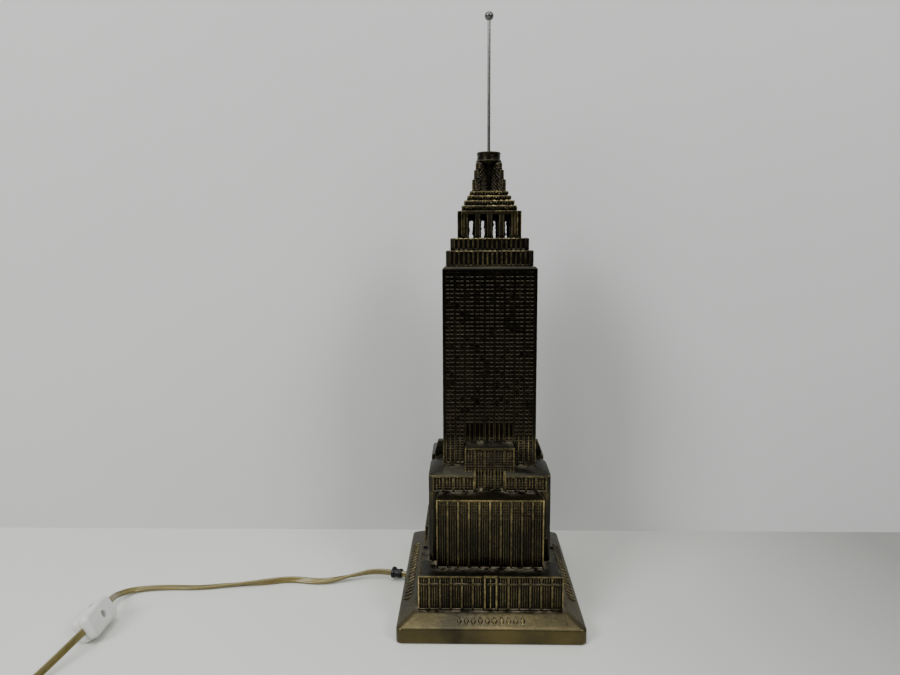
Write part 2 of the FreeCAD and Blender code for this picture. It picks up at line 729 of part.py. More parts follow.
def bulb():
    """A small clear bulb: glass, screw cap, tip contact, stem and filament."""
    glass = new_body("bulb_glass")
    bulb_shape(glass, "Outer", "0", False)
    bulb_shape(glass, "Inner", "glass", True)
    outer, inner, sheet_metal = "cap_outer", "cap_bore", "(cap_outer - cap_bore)"
    outside = [("tip_radius", "cap_foot"), (outer, "cap_shoulder"), (outer, "cap_rim")]
    inside = [(inner, "cap_rim"), (inner, f"cap_shoulder + {sheet_metal}")]
    turned("bulb_cap", outside + inside + [("tip_radius", "cap_foot + 0.7")])
    tip, throat = "tip_radius - 0.3", "tip_radius - 0.05"
    lower = [("0", "tip_foot"), (tip, "tip_foot"), (throat, "cap_foot")]
    turned("bulb_contact", lower + [(throat, "cap_foot + 1.2"), ("0", "cap_foot + 1.2")])
    flared = [("0", "stem_foot"), ("neck_radius - 1", "stem_foot"), ("1.8", "stem_taper_top")]
    turned("bulb_stem", flared + [("1.6", "stem_tip"), ("0", "stem_tip")])
    tube("bulb_filament", FILAMENT_ROUTE, FILAMENT_RADIUS)


def along_route(route, distance):
    """A point on the first run of a route, and that run's direction."""
    direction = (Vector(*route[1]) - Vector(*route[0])).normalize()
    return Vector(*route[0]) + direction * distance, direction


def cord_bushing():
    """The black snap bushing, slid out of its hole along the flex."""
    bore, outer, end = "bushing_bore", "flange_radius", "bushing_length"
    locking_step = [(bore, "0"), ("4.2", "0"), ("4.4", "1.7"), ("3.7", "2.3")]
    flange = [("3.9", "flange_foot - 0.2"), (outer, "flange_foot"), (outer, end), (bore, end)]
    bushing = turned("cord_bushing", locking_step + flange)
    place, direction = along_route(LAMP_ROUTE, size("bushing_place"))
    bushing.Placement = FreeCAD.Placement(place, FreeCAD.Rotation(Vector(0, 0, 1), direction))


def switch_frame():
    """The switch's own frame: X back towards the lamp, Y its width, Z out of the screw's face."""
    come, leave = Vector(*LAMP_ROUTE[-1]), Vector(*SUPPLY_ROUTE[0])
    back = (come - leave).normalize()
    level = back.cross(Vector(0, 0, 1)).normalize()
    lean = math.radians(size("switch_lean"))
    out = level * math.cos(lean) + Vector(0, 0, math.sin(lean))
    width = out.cross(back)
    return FreeCAD.Placement((come + leave) / 2, FreeCAD.Rotation(back, width, out, "XYZ"))


def switch_shell(label, way):
    """One half of the switch's case; way is 1 for the half with the screw's head."""
    body = new_body(label)
    half = size("switch_thickness") / 2
    near, far = "shell_gap", "switch_thickness / 2"
    low, high = (near, far) if way > 0 else (f"0 - {far}", f"0 - {near}")
    case = block(body, "Case", "switch_length", "switch_width", low, high)
    corners = rounded(body, case, "case_corner", upright)
    rounded(body, corners, "case_round", lambda e: abs(e.CenterOfMass.z - way * half) < NEAR)
    along, across = "0 - wheel_along", "wheel_across"
    deep = "wheel_thickness / 2 + 0.25"
    pocket = f"0 - ({deep})"
    rod(body, "WheelRoom", "wheel_radius + 0.4", f"2 * ({deep})", foot=(along, across, pocket), cut=True)
    axle_end = (along, across, "0 - axle_half - 0.2")
    rod(body, "AxleBore", "axle_radius + 0.06", "2 * axle_half + 0.4", foot=axle_end, cut=True)
    block(body, "ContactRoom", "24", "6", "0 - 1.8", "1.8", x=along, y="4.6", cut=True)
    wire_end = ("0 - 17.6", "0 - wire_across", "0")
    rod(body, "WireRoom", "1.4", "35.2", foot=wire_end, turn=SIDEWAYS, cut=True)
    fixing = ("0 - fixing_along", "0 - fixing_across")
    rod(body, "ScrewRoom", "1.25", "20", foot=(*fixing, "0 - 10"), cut=True)
    if way > 0:
        rod(body, "HeadRecess", "2.8", "4", foot=(*fixing, "5.4"), cut=True)
    else:
        hexagon(body, "NutRecess", "3", "4", foot=(*fixing, "0 - 8.9"), cut=True)
    return body


def switch_wheel():
    """The thumbwheel, with its axle pins and a grooved rim."""
    body = new_body("switch_wheel")
    place = ("0 - wheel_along", "wheel_across")
    rod(body, "Wheel", "wheel_radius", "wheel_thickness", foot=(*place, "0 - wheel_thickness / 2"))
    rod(body, "Axle", "axle_radius", "2 * axle_half", foot=(*place, "0 - axle_half"))
    for number in range(WHEEL_GROOVES):
        angle = number * 360 / WHEEL_GROOVES
        x = f"0 - wheel_along + (wheel_radius + 0.15) * cos({angle} deg)"
        y = f"wheel_across + (wheel_radius + 0.15) * sin({angle} deg)"
        rod(body, "Groove", "0.4", "4", foot=(x, y, "0 - 2"), cut=True)
    return body


def in_line_switch():
    """Case, thumbwheel, screw, nut, through wire and contacts, built flat and then leaned."""
    pieces = [switch_shell("switch_shell_front", 1), switch_shell("switch_shell_back", -1)]
    pieces.append(switch_wheel())
    head = [("1.1", "5.45"), ("2.5", "5.45"), ("2.5", "6.3"), ("1.8", "6.8"), ("0", "6.8")]
    screw = turned("switch_screw", [("0", "0 - 6.2"), ("1.1", "0 - 6.2")] + head)
    nut = new_body("switch_nut")
    hexagon(nut, "Nut", "2.8", "1.8", foot=("0", "0", "0 - 6.8"))
    rod(nut, "Bore", "1.15", "3", foot=("0", "0", "0 - 7.5"), cut=True)
    wire = new_body("switch_through_wire")
    rod(wire, "Wire", "1.2", "34.4", foot=("0 - 17.2", "0 - wire_across", "0"), turn=SIDEWAYS)
    pieces.append(wire)
    for label, along in (("switch_contact_in", "10.4"), ("switch_contact_out", "0 - 7")):
        contact = new_body(label)
        block(contact, "Strip", "5.6", "0.8", "0 - 1.5", "1.5", x=along, y="contact_across")
        pieces.append(contact)
    frame = switch_frame()
    shift = Vector(-size("fixing_along"), -size("fixing_across"), 0)
    offset = FreeCAD.Placement(shift, FreeCAD.Rotation())
    for piece in pieces:
        piece.Placement = frame
    for piece in (screw, nut):
        piece.Placement = frame.multiply(offset)
    wheel = frame.multVec(Vector(-size("wheel_along"), size("wheel_across"), 0))
    out = frame.Rotation.multVec(Vector(0, 0, 1))
    print("switch wheel centre (m)", [round(c / 1000, 6) for c in wheel])
    print("switch wheel axis", [round(c, 6) for c in out])


def coil_and_tie():
    """The spare flex, wound and tied; the tie goes round the turns at one place."""
    low, high = "coil_foot", "coil_foot + coil_height"
    section = [("coil_inner", low), ("coil_outer", low), ("coil_outer", high), ("coil_inner", high)]
    coil = turned("cord_coil", section)
    coil.Placement.Base = Vector(*COIL_CENTRE, 0)
    tie = new_body("coil_tie")
    middle = "(coil_inner + coil_outer) / 2"
    inside = "coil_outer - coil_inner + 0.6"
    foot, top = "coil_foot - tie_thickness", f"{high} + tie_thickness"
    block(tie, "Outside", f"{inside} + 2 * tie_thickness", "5", foot, top, x=middle)
    block(tie, "Inside", inside, "6", low, high, x=middle, cut=True)
    tie.Placement.Base = Vector(*COIL_CENTRE, 0)


def plug():
    """A moulded two-blade plug, lying flat beside the coil."""
    body = new_body("plug_body")
    front = "plug_neck + plug_length"
    half, centre = "plug_thickness / 2", "plug_neck + plug_length / 2"
    case = block(body, "Case", "plug_length", "plug_width", f"0 - {half}", half, x=centre)
    rounded(body, case, "plug_round", lambda e: True)
    neck = body.newObject("PartDesign::AdditiveCone", "Neck")
    neck.Placement = FreeCAD.Placement(Vector(), SIDEWAYS)
    bind(neck, Radius1="cord_width / 2 + 0.6", Radius2="5.2", Height="plug_neck + 1")
    doc.recompute()
    place = FreeCAD.Placement(Vector(*PLUG_ROUTE[-1]), FreeCAD.Rotation())
    body.Placement = place
    for name, side in (("line", -1), ("neutral", 1)):
        blade = new_body("plug_blade_" + name)
        edge = f"{name}_blade_width / 2"
        middle, y = f"{front} + blade_length / 2", f"{side} * blade_pitch / 2"
        block(blade, "Blade", "blade_length", "blade_thickness", f"0 - {edge}", edge, x=middle, y=y)
        blade.Placement = place


def write_parts():
    """Check every object and sub-part, and write one STEP file for each."""
    doc.recompute()
    for thing in doc.Objects:
        if any(state in ("Invalid", "Error") for state in thing.State):
            raise RuntimeError(f"{thing.Label} failed: {thing.State}")
    os.makedirs("parts", exist_ok=True)
    for label, piece in made.items():
        shape = piece.Shape
        if shape.isNull() or not shape.isValid() or len(shape.Solids) != 1:
            raise RuntimeError(f"{label}: null, invalid, or not one solid")
        shape.exportStep(f"parts/{label}.step")
    print(len(made), "sub-parts written")


def main():
    fill_sheet()
    base_casting()
    shaft_casting()
    crown_casting()
    antenna()
    underside()
    pipe_stack()
    socket()
    bulb()
    radius = size("cord_width") / 2
    tube("inner_cord", INNER_ROUTE, radius)
    cord_bushing()
    tube("lamp_cord", LAMP_ROUTE, radius)
    in_line_switch()
    tube("supply_cord", SUPPLY_ROUTE, radius)
    coil_and_tie()
    tube("plug_cord", PLUG_ROUTE, radius)
    plug()
    write_parts()


main()
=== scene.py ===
import json
import math

import bmesh
import bpy
import numpy as np
from mathutils import Matrix, Vector, noise


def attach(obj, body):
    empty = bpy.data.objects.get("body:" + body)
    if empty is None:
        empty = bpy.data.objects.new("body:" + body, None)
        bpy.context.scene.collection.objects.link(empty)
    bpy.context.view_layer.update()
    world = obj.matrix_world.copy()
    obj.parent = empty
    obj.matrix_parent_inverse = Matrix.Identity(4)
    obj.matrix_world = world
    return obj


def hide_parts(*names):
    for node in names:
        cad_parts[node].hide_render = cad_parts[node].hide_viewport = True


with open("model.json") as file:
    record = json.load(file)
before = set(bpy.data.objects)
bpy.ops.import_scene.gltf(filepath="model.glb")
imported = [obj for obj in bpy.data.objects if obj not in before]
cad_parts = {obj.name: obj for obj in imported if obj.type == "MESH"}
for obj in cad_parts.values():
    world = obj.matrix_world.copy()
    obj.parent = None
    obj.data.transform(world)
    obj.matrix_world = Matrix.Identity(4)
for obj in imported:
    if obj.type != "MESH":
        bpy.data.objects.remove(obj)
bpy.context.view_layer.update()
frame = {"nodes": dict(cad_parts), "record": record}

# A cast table lamp in the shape of a stepped tower, with its flex, in-line switch and plug.
# Builders work in millimetres, which new_mesh() and MM turn into the frame's metres.

MM = 0.001
UP = Vector((0, 0, 1))

# plinth, podium, panel and block of the base, as in the design
PLINTH = (145.6, 182.0)
PLINTH_SIDE = 12.6
LEDGE = (120.6, 157.0)
BEVEL_TOP = 19.3
PODIUM = (112.8, 151.0)
PODIUM_TOP, PODIUM_ROOF_TOP, GUTTER = 47.2, 47.5, 46.3
JOG, JOG_LENGTH = 3.0, 40.0
PANEL = (85.0, 121.4)
PANEL_TOP, WING_FOOT = 103.1, 105.0
BLOCK = (98.3, 95.6)
BLOCK_CHAMFER = 3.2
WING_TOP = 118.2
NOTCH = 16.0
# shaft; its top, and the crown's steps, mast and cap, are up to 2.4 mm off the design's
SHAFT = (75.0, 75.4)
SHAFT_FOOT, SHAFT_TOP, RIM_TOP, RIM_INSET = 124.9, 282.9, 284.7, 1.6
BAY = (39.8, 89.0)
BAY_TOP, BAY_ROOF_TOP = 140.3, 143.8
STEM = 23.9
SIDE_BAY_REACH, SIDE_BAY_TOP, SIDE_BAY_ROOF_TOP = 91.0, 127.0, 135.0
# crown
CROWN_FOOT, SKIRT_FOOT, SKIRT = 285.0, 280.2, 57.2
TIER_ONE, TIER_ONE_TOP = 69.6, 297.4
TIER_TWO, TIER_TWO_TOP = 62.8, 307.2
LANTERN, LANTERN_FACE, LANTERN_TOP = 51.2, 45.2, 328.7
OPENING, OPENING_PITCH, OPENING_TOP = 6.1, 9.6, 326.9
STEPS = ((45.4, 333.4), (41.4, 337.5), (36.4, 341.5), (32.2, 345.2))
MAST_FOOT, MAST_TOP, MAST_RADIUS = 345.2, 367.7, 4.8
BUTTRESSES = ((34.6, 354.2), (30.2, 362.0), (26.4, 368.5))
BUTTRESS_THICK = 5.0
CAP_RADIUS, CAP_TOP = 10.7, 376.7
WALL = 3.0
COVER_SCREWS = [(x * 58, y * 76) for x in (-1, 1) for y in (-1, 1)]
CORD_HOLE = (-0.0763, 0.009, 0.0061)  # metres

# the switch: its case, its thumbwheel's and screw's places, its wires' place in metres
CASE_SIZE, CASE_DEEP, CASE_SOFT = (38.6, 20.0), 7.5, 3.4
CASE_TILT = math.radians(29)
WHEEL_PLACE, SCREW_PLACE, WIRE_PLACE = (1.7, 6.2), (0.9, -0.3), (0, -0.0065, 0)

# the flex: the design's route, settled a little so that it lies on the floor
CORD_WIDTH, CORD_THICK = 5.6, 2.9
LAMP_ROUTE = [
    (-71.3, 9.0, 6.0), (-97.0, 16.6, 7.3), (-123.5, 9.8, 4.6), (-148.0, 0.9, 2.5),
    (-177.0, 6.9, 2.85), (-203.0, -1.3, 3.0), (-229.0, -3.2, 2.15), (-254.0, -8.8, 1.6),
    (-279.0, -8.6, 1.8), (-300.0, -11.0, 2.2), (-312.5, -17.5, 3.4), (-318.3, -29.5, 5.6),
    (-315.9, -41.9, 9.4), (-313.1, -52.7, 11.4), (-312.67, -58.51, 11.4),
]
SUPPLY_ROUTE = [
    (-309.8, -97.0, 11.4), (-311.2, -109.0, 10.4), (-315.0, -126.0, 6.9),
    (-319.2, -149.0, 4.0), (-321.6, -174.5, 3.4),
]
PLUG_ROUTE = [(-283.0, -239.9, 8.8), (-266.0, -242.9, 7.3), (-250.0, -243.4, 6.6)]
# share of the length, and the turn of the flat section there in degrees
LAMP_TILTS = [(0.0, 90), (0.12, 75), (0.19, 27), (0.26, -30), (0.35, -63), (0.45, -85),
              (0.53, -153), (0.62, -178), (0.8, -195), (0.92, -225), (1.0, -241)]
SUPPLY_TILTS = [(0.0, -61), (0.04, -72), (0.085, -90), (0.97, -90), (1.0, 0)]
COIL_CENTRE = Vector((-286.0, -203.0, 0.0))
COIL_RADII = (35.1, 31.7, 28.3, 24.9)
COIL_LAYERS = (3.43, 9.08)
COIL_TURNS = 7 + 72 / 360
POINTS_PER_TURN = 16

# the viewpoint, as fitted to the plinth and the tower's edges, and the lights
CAMERA_PLACE, LENS = (-0.01864, -0.58043, 0.30015), 27.57
PITCH, YAW, ROLL = math.radians(7.48), math.radians(1.36), math.radians(-0.25)
STAGE_REACH, WALL_Y = 4.0, 0.124
LIGHTS = (  # name, place, target, size, power
    ("key_left", (-1.5, -1.6, 1.5), (0, 0, 0.2), (0.9, 0.9), 46),
    ("key_right", (1.3, -1.5, 1.5), (0, 0, 0.2), (0.7, 0.7), 29),
    ("overhead", (-0.2, -0.5, 2.3), (0, 0, 0), (1.6, 1.0), 30),
)


# ---- meshes

def link(name, data):
    """An object of some data, in the scene."""
    thing = bpy.data.objects.new(name, data)
    bpy.context.scene.collection.objects.link(thing)
    return thing


def discard(piece):
    mesh = piece.data
    bpy.data.objects.remove(piece)
    bpy.data.meshes.remove(mesh)


def evaluated_mesh(thing):
    """A new mesh of what an object's modifiers or curve make."""
    graph = bpy.context.evaluated_depsgraph_get()
    return bpy.data.meshes.new_from_object(thing.evaluated_get(graph), depsgraph=graph)


def new_mesh(points, faces, soft=40.0, name="part"):
    """A mesh object from points in millimetres; edges sharper than soft degrees stay sharp."""
    mesh = bpy.data.meshes.new(name)
    mesh.from_pydata((np.asarray(points, float) * MM).tolist(), [], faces)
    mesh.validate()
    piece = link(name, mesh)
    shade(piece, soft)
    return piece


def shade(piece, soft):
    """Smooth shading, with a break at every edge sharper than soft degrees."""
    piece.data.shade_smooth()
    piece.data.set_sharp_from_angle(angle=math.radians(soft))


def tube_faces(rows, columns, capped=True):
    """Quads of a closed tube of rows of points, and a face over each end."""
    faces = []
    for r in range(rows - 1):
        for c in range(columns):
            d = (c + 1) % columns
            low, high = r * columns, (r + 1) * columns
            faces.append((low + c, low + d, high + d, high + c))
    if capped:
        faces.append(tuple(reversed(range(columns))))
        faces.append(tuple(range((rows - 1) * columns, rows * columns)))
    return faces


def strip(depth, *places):
    """Lines of a face outside its bays: (place, recess between storeys, recess at windows, bay)."""
    return [(place, depth, depth, -1) for place in places]


def plain(length):
    """The lines of a face with no relief."""
    return strip(0, -length / 2, length / 2)


def bays(length, count, margin, rib, mullion=0.7, mullions=1, spandrel=0.3, window=0.9, slope=0.18,
         sunk=0.25):
    """The lines of a face of ribs, and between each two of them windows parted by mullions.

    The mullions are sunk by that share of the windows' depth."""
    pitch = (length - 2 * margin) / count
    proud = sunk * window
    lines = strip(0, -length / 2)
    for bay in range(count):
        left = -length / 2 + margin + bay * pitch + rib / 2
        right = left + pitch - rib
        opening = (right - left - mullions * mullion) / (mullions + 1)
        lines.append((left, 0, 0, bay))
        for number in range(mullions + 1):
            start = left + number * (opening + mullion)
            lines.append((start + slope, spandrel, window, bay))
            lines.append((start + opening - slope, spandrel, window, bay))
            if number < mullions:
                lines.append((start + opening, proud, proud, bay))
                lines.append((start + opening + mullion, proud, proud, bay))
        lines.append((right, 0, 0, bay))
    return lines + strip(0, length / 2)


def outline(width, depth, front, side, corner=0.0, arc=1):
    """Lines round a rectangle, from its front face counterclockwise, as one array.

    Columns: place x, y as shares of the half sizes, outward x, y, spandrel, window, bay, face.
    corner takes that much off each corner, as one flat cut or as an arc of several."""
    table = []
    for face, (nx, ny) in enumerate(((0, -1), (1, 0), (0, 1), (-1, 0))):
        along = (-ny, nx)
        half, reach, lines = (width / 2, depth / 2, front) if ny else (depth / 2, width / 2, side)
        for u, spandrel, window, bay in lines if corner else lines[:-1]:
            x, y = nx * reach + along[0] * u, ny * reach + along[1] * u
            table.append((x / width * 2, y / depth * 2, nx, ny, spandrel, window, bay, face))
        for step in range(1, arc if corner else 0):
            angle = math.pi / 2 * step / arc
            out = (nx * math.cos(angle) + along[0] * math.sin(angle),
                   ny * math.cos(angle) + along[1] * math.sin(angle))
            x = nx * (reach - corner) + along[0] * (half - corner) + corner * out[0]
            y = ny * (reach - corner) + along[1] * (half - corner) + corner * out[1]
            table.append((x / width * 2, y / depth * 2, *out, 0, 0, -1, face))
    return np.array(table)


def stack(lines, sizes, rows, centre=(0.0, 0.0)):
    """A closed solid from an outline, its half sizes and its rows: (height, relief, window share).

    A row may end in half sizes of its own. The relief and the share are each one number, or a
    function of the bay's number and the face's."""
    cells = [(int(bay), int(face)) for bay, face in lines[:, 6:8]]
    points = []
    for height, relief, share, *own in rows:
        half_x, half_y = own[0] if own else sizes
        relief, share = (np.array([value(*cell) for cell in cells]) if callable(value) else value
                         for value in (relief, share))
        recess = relief * (lines[:, 4] + share * (lines[:, 5] - lines[:, 4]))
        x = lines[:, 0] * half_x - lines[:, 2] * recess + centre[0]
        y = lines[:, 1] * half_y - lines[:, 3] * recess + centre[1]
        points.append(np.column_stack([x, y, np.full(len(lines), height)]))
    return new_mesh(np.concatenate(points), tube_faces(len(rows), len(lines)))


def half(sizes, inset=0.0):
    return (sizes[0] / 2 - inset, sizes[1] / 2 - inset)


def less(sizes, inset):
    return (sizes[0] - inset, sizes[1] - inset)


def storeys(foot, pitch, count, sill, spandrel, lintel=0.22):
    """Rows of storeys: each a sloped sill, the window, its lintel and the spandrel."""
    rows = []
    for number in range(count):
        z = foot + number * pitch
        top = z + pitch - spandrel
        rows += [(z, 1, 0.0), (z + sill, 1, 1.0), (top - lintel, 1, 1.0), (top, 1, 0.0)]
    return rows


def room(sizes, low, high, centre=(0.0, 0.0)):
    """A plain box centred on a place, sizes across and along, from low to high."""
    (x, y), (dx, dy) = centre, half(sizes)
    ring = ((x - dx, y - dy), (x + dx, y - dy), (x + dx, y + dy), (x - dx, y + dy))
    return new_mesh([(*place, z) for z in (low, high) for place in ring], tube_faces(2, 4))


def frustum(foot, top, low, high):
    """A plain four-sided frustum about the Z axis."""
    lines = outline(2, 2, plain(2), plain(2))
    return stack(lines, half(foot), [(low, 0, 0), (high, 0, 0, half(top))])


def lathe(profile, steps, centre=(0.0, 0.0)):
    """A solid turned about Z from (radius, height) pairs, bottom to top."""
    turns = [math.tau * k / steps for k in range(steps)]
    points = [(centre[0] + radius * math.cos(angle), centre[1] + radius * math.sin(angle), height)
              for radius, height in profile for angle in turns]
    return new_mesh(points, tube_faces(len(profile), steps))


def laid_along_x(piece, place):
    """A piece turned from Z to X and moved to a place in metres."""
    piece.data.transform(Matrix.Translation(place) @ Matrix.Rotation(math.pi / 2, 4, "Y"))
    return piece


def combine(target, others, operation):
    """Union or difference of target and each of others, which are used up."""
    for other in others:
        step = target.modifiers.new("combine", "BOOLEAN")
        step.operation = operation
        step.solver = "MANIFOLD"
        step.object = other
        mesh = evaluated_mesh(target)
        target.modifiers.clear()
        old = target.data
        target.data = mesh
        bpy.data.meshes.remove(old)
        discard(other)
    return target


def join(target, others):
    return combine(target, others, "UNION")


def cut(target, others):
    return combine(target, others, "DIFFERENCE")


def roughen(piece, amount, scale, keep):
    """Move each point inward by cast unevenness, up to amount mm, where keep(point) is true."""
    mesh = piece.data
    places, normals = np.empty((2, len(mesh.vertices) * 3))
    mesh.vertices.foreach_get("co", places)
    mesh.vertices.foreach_get("normal", normals)
    places, normals = places.reshape(-1, 3), normals.reshape(-1, 3)
    for k in range(len(places)):
        point = places[k] / MM
        if keep(point):
            rough = noise.noise(Vector(point) * scale) + 0.5 * noise.noise(Vector(point) * scale * 2.7)
            places[k] -= normals[k] * MM * amount * (0.5 + 0.5 * max(-1.0, min(1.0, rough)))
    mesh.vertices.foreach_set("co", places.ravel())
    mesh.update()


# ---- materials

class Nodes:
    """A material's node tree, with short calls that make and link its nodes."""

    def __init__(self, name):
        self.material = bpy.data.materials.new(name)
        self.material.use_nodes = True
        self.tree = self.material.node_tree
        self.shader = self.tree.nodes["Principled BSDF"]

    def add(self, kind, settings=None, **inputs):
        node = self.tree.nodes.new("ShaderNode" + kind)
        for key, value in (settings or {}).items():
            setattr(node, key, value)
        for key, value in inputs.items():
            socket = int(key[1:]) if key[1:].isdigit() else key.replace("_", " ")
            self.feed(node.inputs[socket], value)
        return node

    def feed(self, socket, value):
        """Link a socket, or set it; a tuple is a colour."""
        if isinstance(value, bpy.types.NodeSocket):
            self.tree.links.new(value, socket)
        else:
            socket.default_value = (*value, 1.0) if isinstance(value, tuple) else value

    def place(self):
        return self.add("TexCoord").outputs["Object"]

    def part(self, axis, vector):
        return self.add("SeparateXYZ", Vector=vector).outputs[axis]

    def openness(self, samples, distance, inside=False):
        """How open the surface is within a distance in mm, outside or inside it."""
        settings = {"samples": samples, "only_local": True, "inside": inside}
        return self.add("AmbientOcclusion", settings, Distance=distance * MM).outputs["AO"]

    def noise(self, scale, detail, roughness=0.55):
        node = self.add("TexNoise", Vector=self.place(), Scale=scale, Detail=detail, Roughness=roughness)
        return node.outputs["Fac"]

    def span(self, value, low, high, to_low=0.0, to_high=1.0):
        node = self.add("MapRange", i0=value, i1=low, i2=high, i3=to_low, i4=to_high)
        return node.outputs[0]

    def math(self, operation, a, b=0.0):
        return self.add("Math", {"operation": operation}, i0=a, i1=b).outputs[0]

    def times(self, a, b):
        return self.math("MULTIPLY", a, b)

    def profile(self, value, stops):
        """A value read from (place, value) stops, for places and values from 0 to 2."""
        ramp = self.add("ValToRGB", Fac=self.times(value, 0.5))
        points = ramp.color_ramp.elements
        for place, level in stops:
            point = points[0] if place == stops[0][0] else points.new(place / 2)
            point.position, point.color = place / 2, (level / 2,) * 3 + (1.0,)
        points.remove(points[len(points) - 1])
        return self.times(ramp.outputs["Color"], 2.0)

    def mix(self, share, first, second):
        node = self.add("Mix", {"data_type": "RGBA"}, i0=share, i6=first, i7=second)
        return node.outputs[2]

    def bump(self, height, strength, distance):
        node = self.add("Bump", Height=height, Strength=strength, Distance=distance)
        self.feed(self.shader.inputs["Normal"], node.outputs[0])

    def set(self, **values):
        for key, value in values.items():
            self.feed(self.shader.inputs[key.replace("_", " ")], value)
        return self.material


# height in mm, and how far the patina is rubbed through there: feet and tops most, the shaft least; from 1.1
# up it also brings in gilding, partly a painted golden sheen
RUBBED = (
    (0, 1.9), (20, 1.9), (21, 0.95), (48, 0.9), (60, 0.5), (86, 0.6), (96, 1.0), (103, 1.6),
    (106, 1.0), (119, 1.0), (124, 0.3), (128, 0.4), (141, 0.8), (150, 0.2), (284.8, 0.12),
    (285.2, 0.65), (307, 0.6), (308, 1.0), (326, 1.05), (329, 1.35), (345, 1.35), (346.5, 0.3), (377, 0.4),
)


def bronze():
    """Aged bronze plate: near-black patina in recesses, olive brass rubbed through on ribs and edges; painted
    highlights on up-facing sills, gilding where it is rubbed most, partly a painted golden sheen, and painted
    shade in broad hollows.
    """
    n = Nodes("aged_bronze")
    openness, edges, wide = n.openness(6, 2.2), n.openness(6, 1.1, inside=True), n.openness(4, 9)
    patches, grain = n.noise(22, 5), n.noise(420, 6, 0.6)
    facing = n.part("Z", n.add("NewGeometry").outputs["Normal"])
    height = n.part("Z", n.place())
    rub_sheen_and_shade = n.profile(n.times(height, 4.0), [(place * 0.004, level) for place, level in RUBBED])
    raised = n.span(openness, 0.66, 0.97)
    rubbed = n.times(n.math("POWER", raised, 2.0), n.span(patches, 0.3, 0.7, 0.35, 1.0))
    depths = n.mix(n.span(rub_sheen_and_shade, 0.15, 0.5), (0.0020, 0.0015, 0.0009), (0.0058, 0.0056, 0.0048))
    # painted shade: the rub, and with it the rubbed colour, brass and gilding, is cut back where a broad
    # hollow lies around; this is partly patina and partly the shade there
    rub_sheen_and_shade = n.times(rub_sheen_and_shade, n.span(wide, 0.4, 0.8, 0.2, 1.0))
    body = n.mix(n.times(rubbed, rub_sheen_and_shade), depths, (0.038, 0.0345, 0.022))
    open_edge = n.times(n.span(edges, 0.88, 0.5), n.span(openness, 0.86, 0.98))
    worn = n.times(n.span(grain, 0.38, 0.64, 0.2, 1.0), n.span(n.noise(45, 4), 0.35, 0.6, 0.3, 1.0))
    # painted highlight: up-facing sill slopes in half-open recesses are lightened where the overhead light
    # would catch them
    sill = n.times(n.span(facing, 0.35, 0.55), n.span(openness, 0.95, 0.75))
    brass = n.times(n.times(open_edge, worn), rub_sheen_and_shade)
    # rubbed-through gilding where the rub is highest (plinth foot, panel top, crown steps), partly a painted
    # golden sheen on the plinth's front
    gilt_and_sheen = n.times(n.span(rub_sheen_and_shade, 1.1, 2.0, 0.0, 0.85), n.span(patches, 0.35, 0.6, 0.15, 1.0))
    body = n.mix(gilt_and_sheen, body, (0.13, 0.102, 0.04))
    body = n.mix(brass, body, (0.6, 0.48, 0.21))
    # lays on the painted sill highlight, a light grey
    body = n.mix(n.times(sill, 0.36), body, (0.075, 0.064, 0.042))
    roof = n.mix(n.times(n.span(facing, 0.3, 0.95), 0.4), body, (0.028, 0.027, 0.022))
    dust = n.times(n.span(facing, 0.6, 0.95), n.span(wide, 0.88, 0.5))
    dust = n.times(dust, n.span(n.noise(150, 4), 0.38, 0.6))
    colour = n.mix(dust, roof, (0.20, 0.17, 0.115))
    roughness = n.math("ADD", n.span(grain, 0.3, 0.7, 0.28, 0.44), n.times(dust, 0.4))
    n.bump(n.math("ADD", grain, n.times(n.noise(140, 3), 1.6)), 0.45, 0.3 * MM)
    metallic = n.math("SUBTRACT", 0.97, n.times(dust, 0.9))
    return n.set(Base_Color=colour, Metallic=metallic, Roughness=roughness)


def metal(name, colour, roughness, wear=0.1):
    """Plain metal with fine uneven polish."""
    n = Nodes(name)
    fine, blotch = n.noise(900, 5, 0.7), n.noise(60, 3)
    dark = tuple(0.55 * c for c in colour)
    n.bump(fine, 0.12, 0.05 * MM)
    mixed = n.mix(n.span(blotch, 0.35, 0.75, 0.0, 0.6), colour, dark)
    polish = n.span(fine, 0.3, 0.7, roughness, roughness + wear)
    return n.set(Base_Color=mixed, Metallic=1.0, Roughness=polish)


def moulded(name, colour, stain, roughness=0.35, glow=0.0, gloss=0.5):
    """Moulded plastic with a faint skin texture, patchy stains, and a patchy darkening in its hollows."""
    n = Nodes(name)
    skin, hollow_openness = n.noise(1500, 3, 0.5), n.openness(6, 2)
    # darker towards the stain colour in the hollows, in patches
    hollow_darkening = n.times(n.span(hollow_openness, 0.9, 0.4), n.span(n.noise(120, 4), 0.3, 0.7, 0.3, 1.0))
    blotch = n.span(n.noise(45, 3), 0.3, 0.75, 0.0, 0.25)
    n.bump(skin, 0.2, 0.04 * MM)
    mixed = n.mix(n.math("MAXIMUM", hollow_darkening, blotch), colour, stain)
    n.set(Subsurface_Weight=glow, Subsurface_Scale=1.5 * MM, Specular_IOR_Level=gloss)
    return n.set(Base_Color=mixed, Roughness=n.span(skin, 0.3, 0.7, roughness, roughness + 0.12))


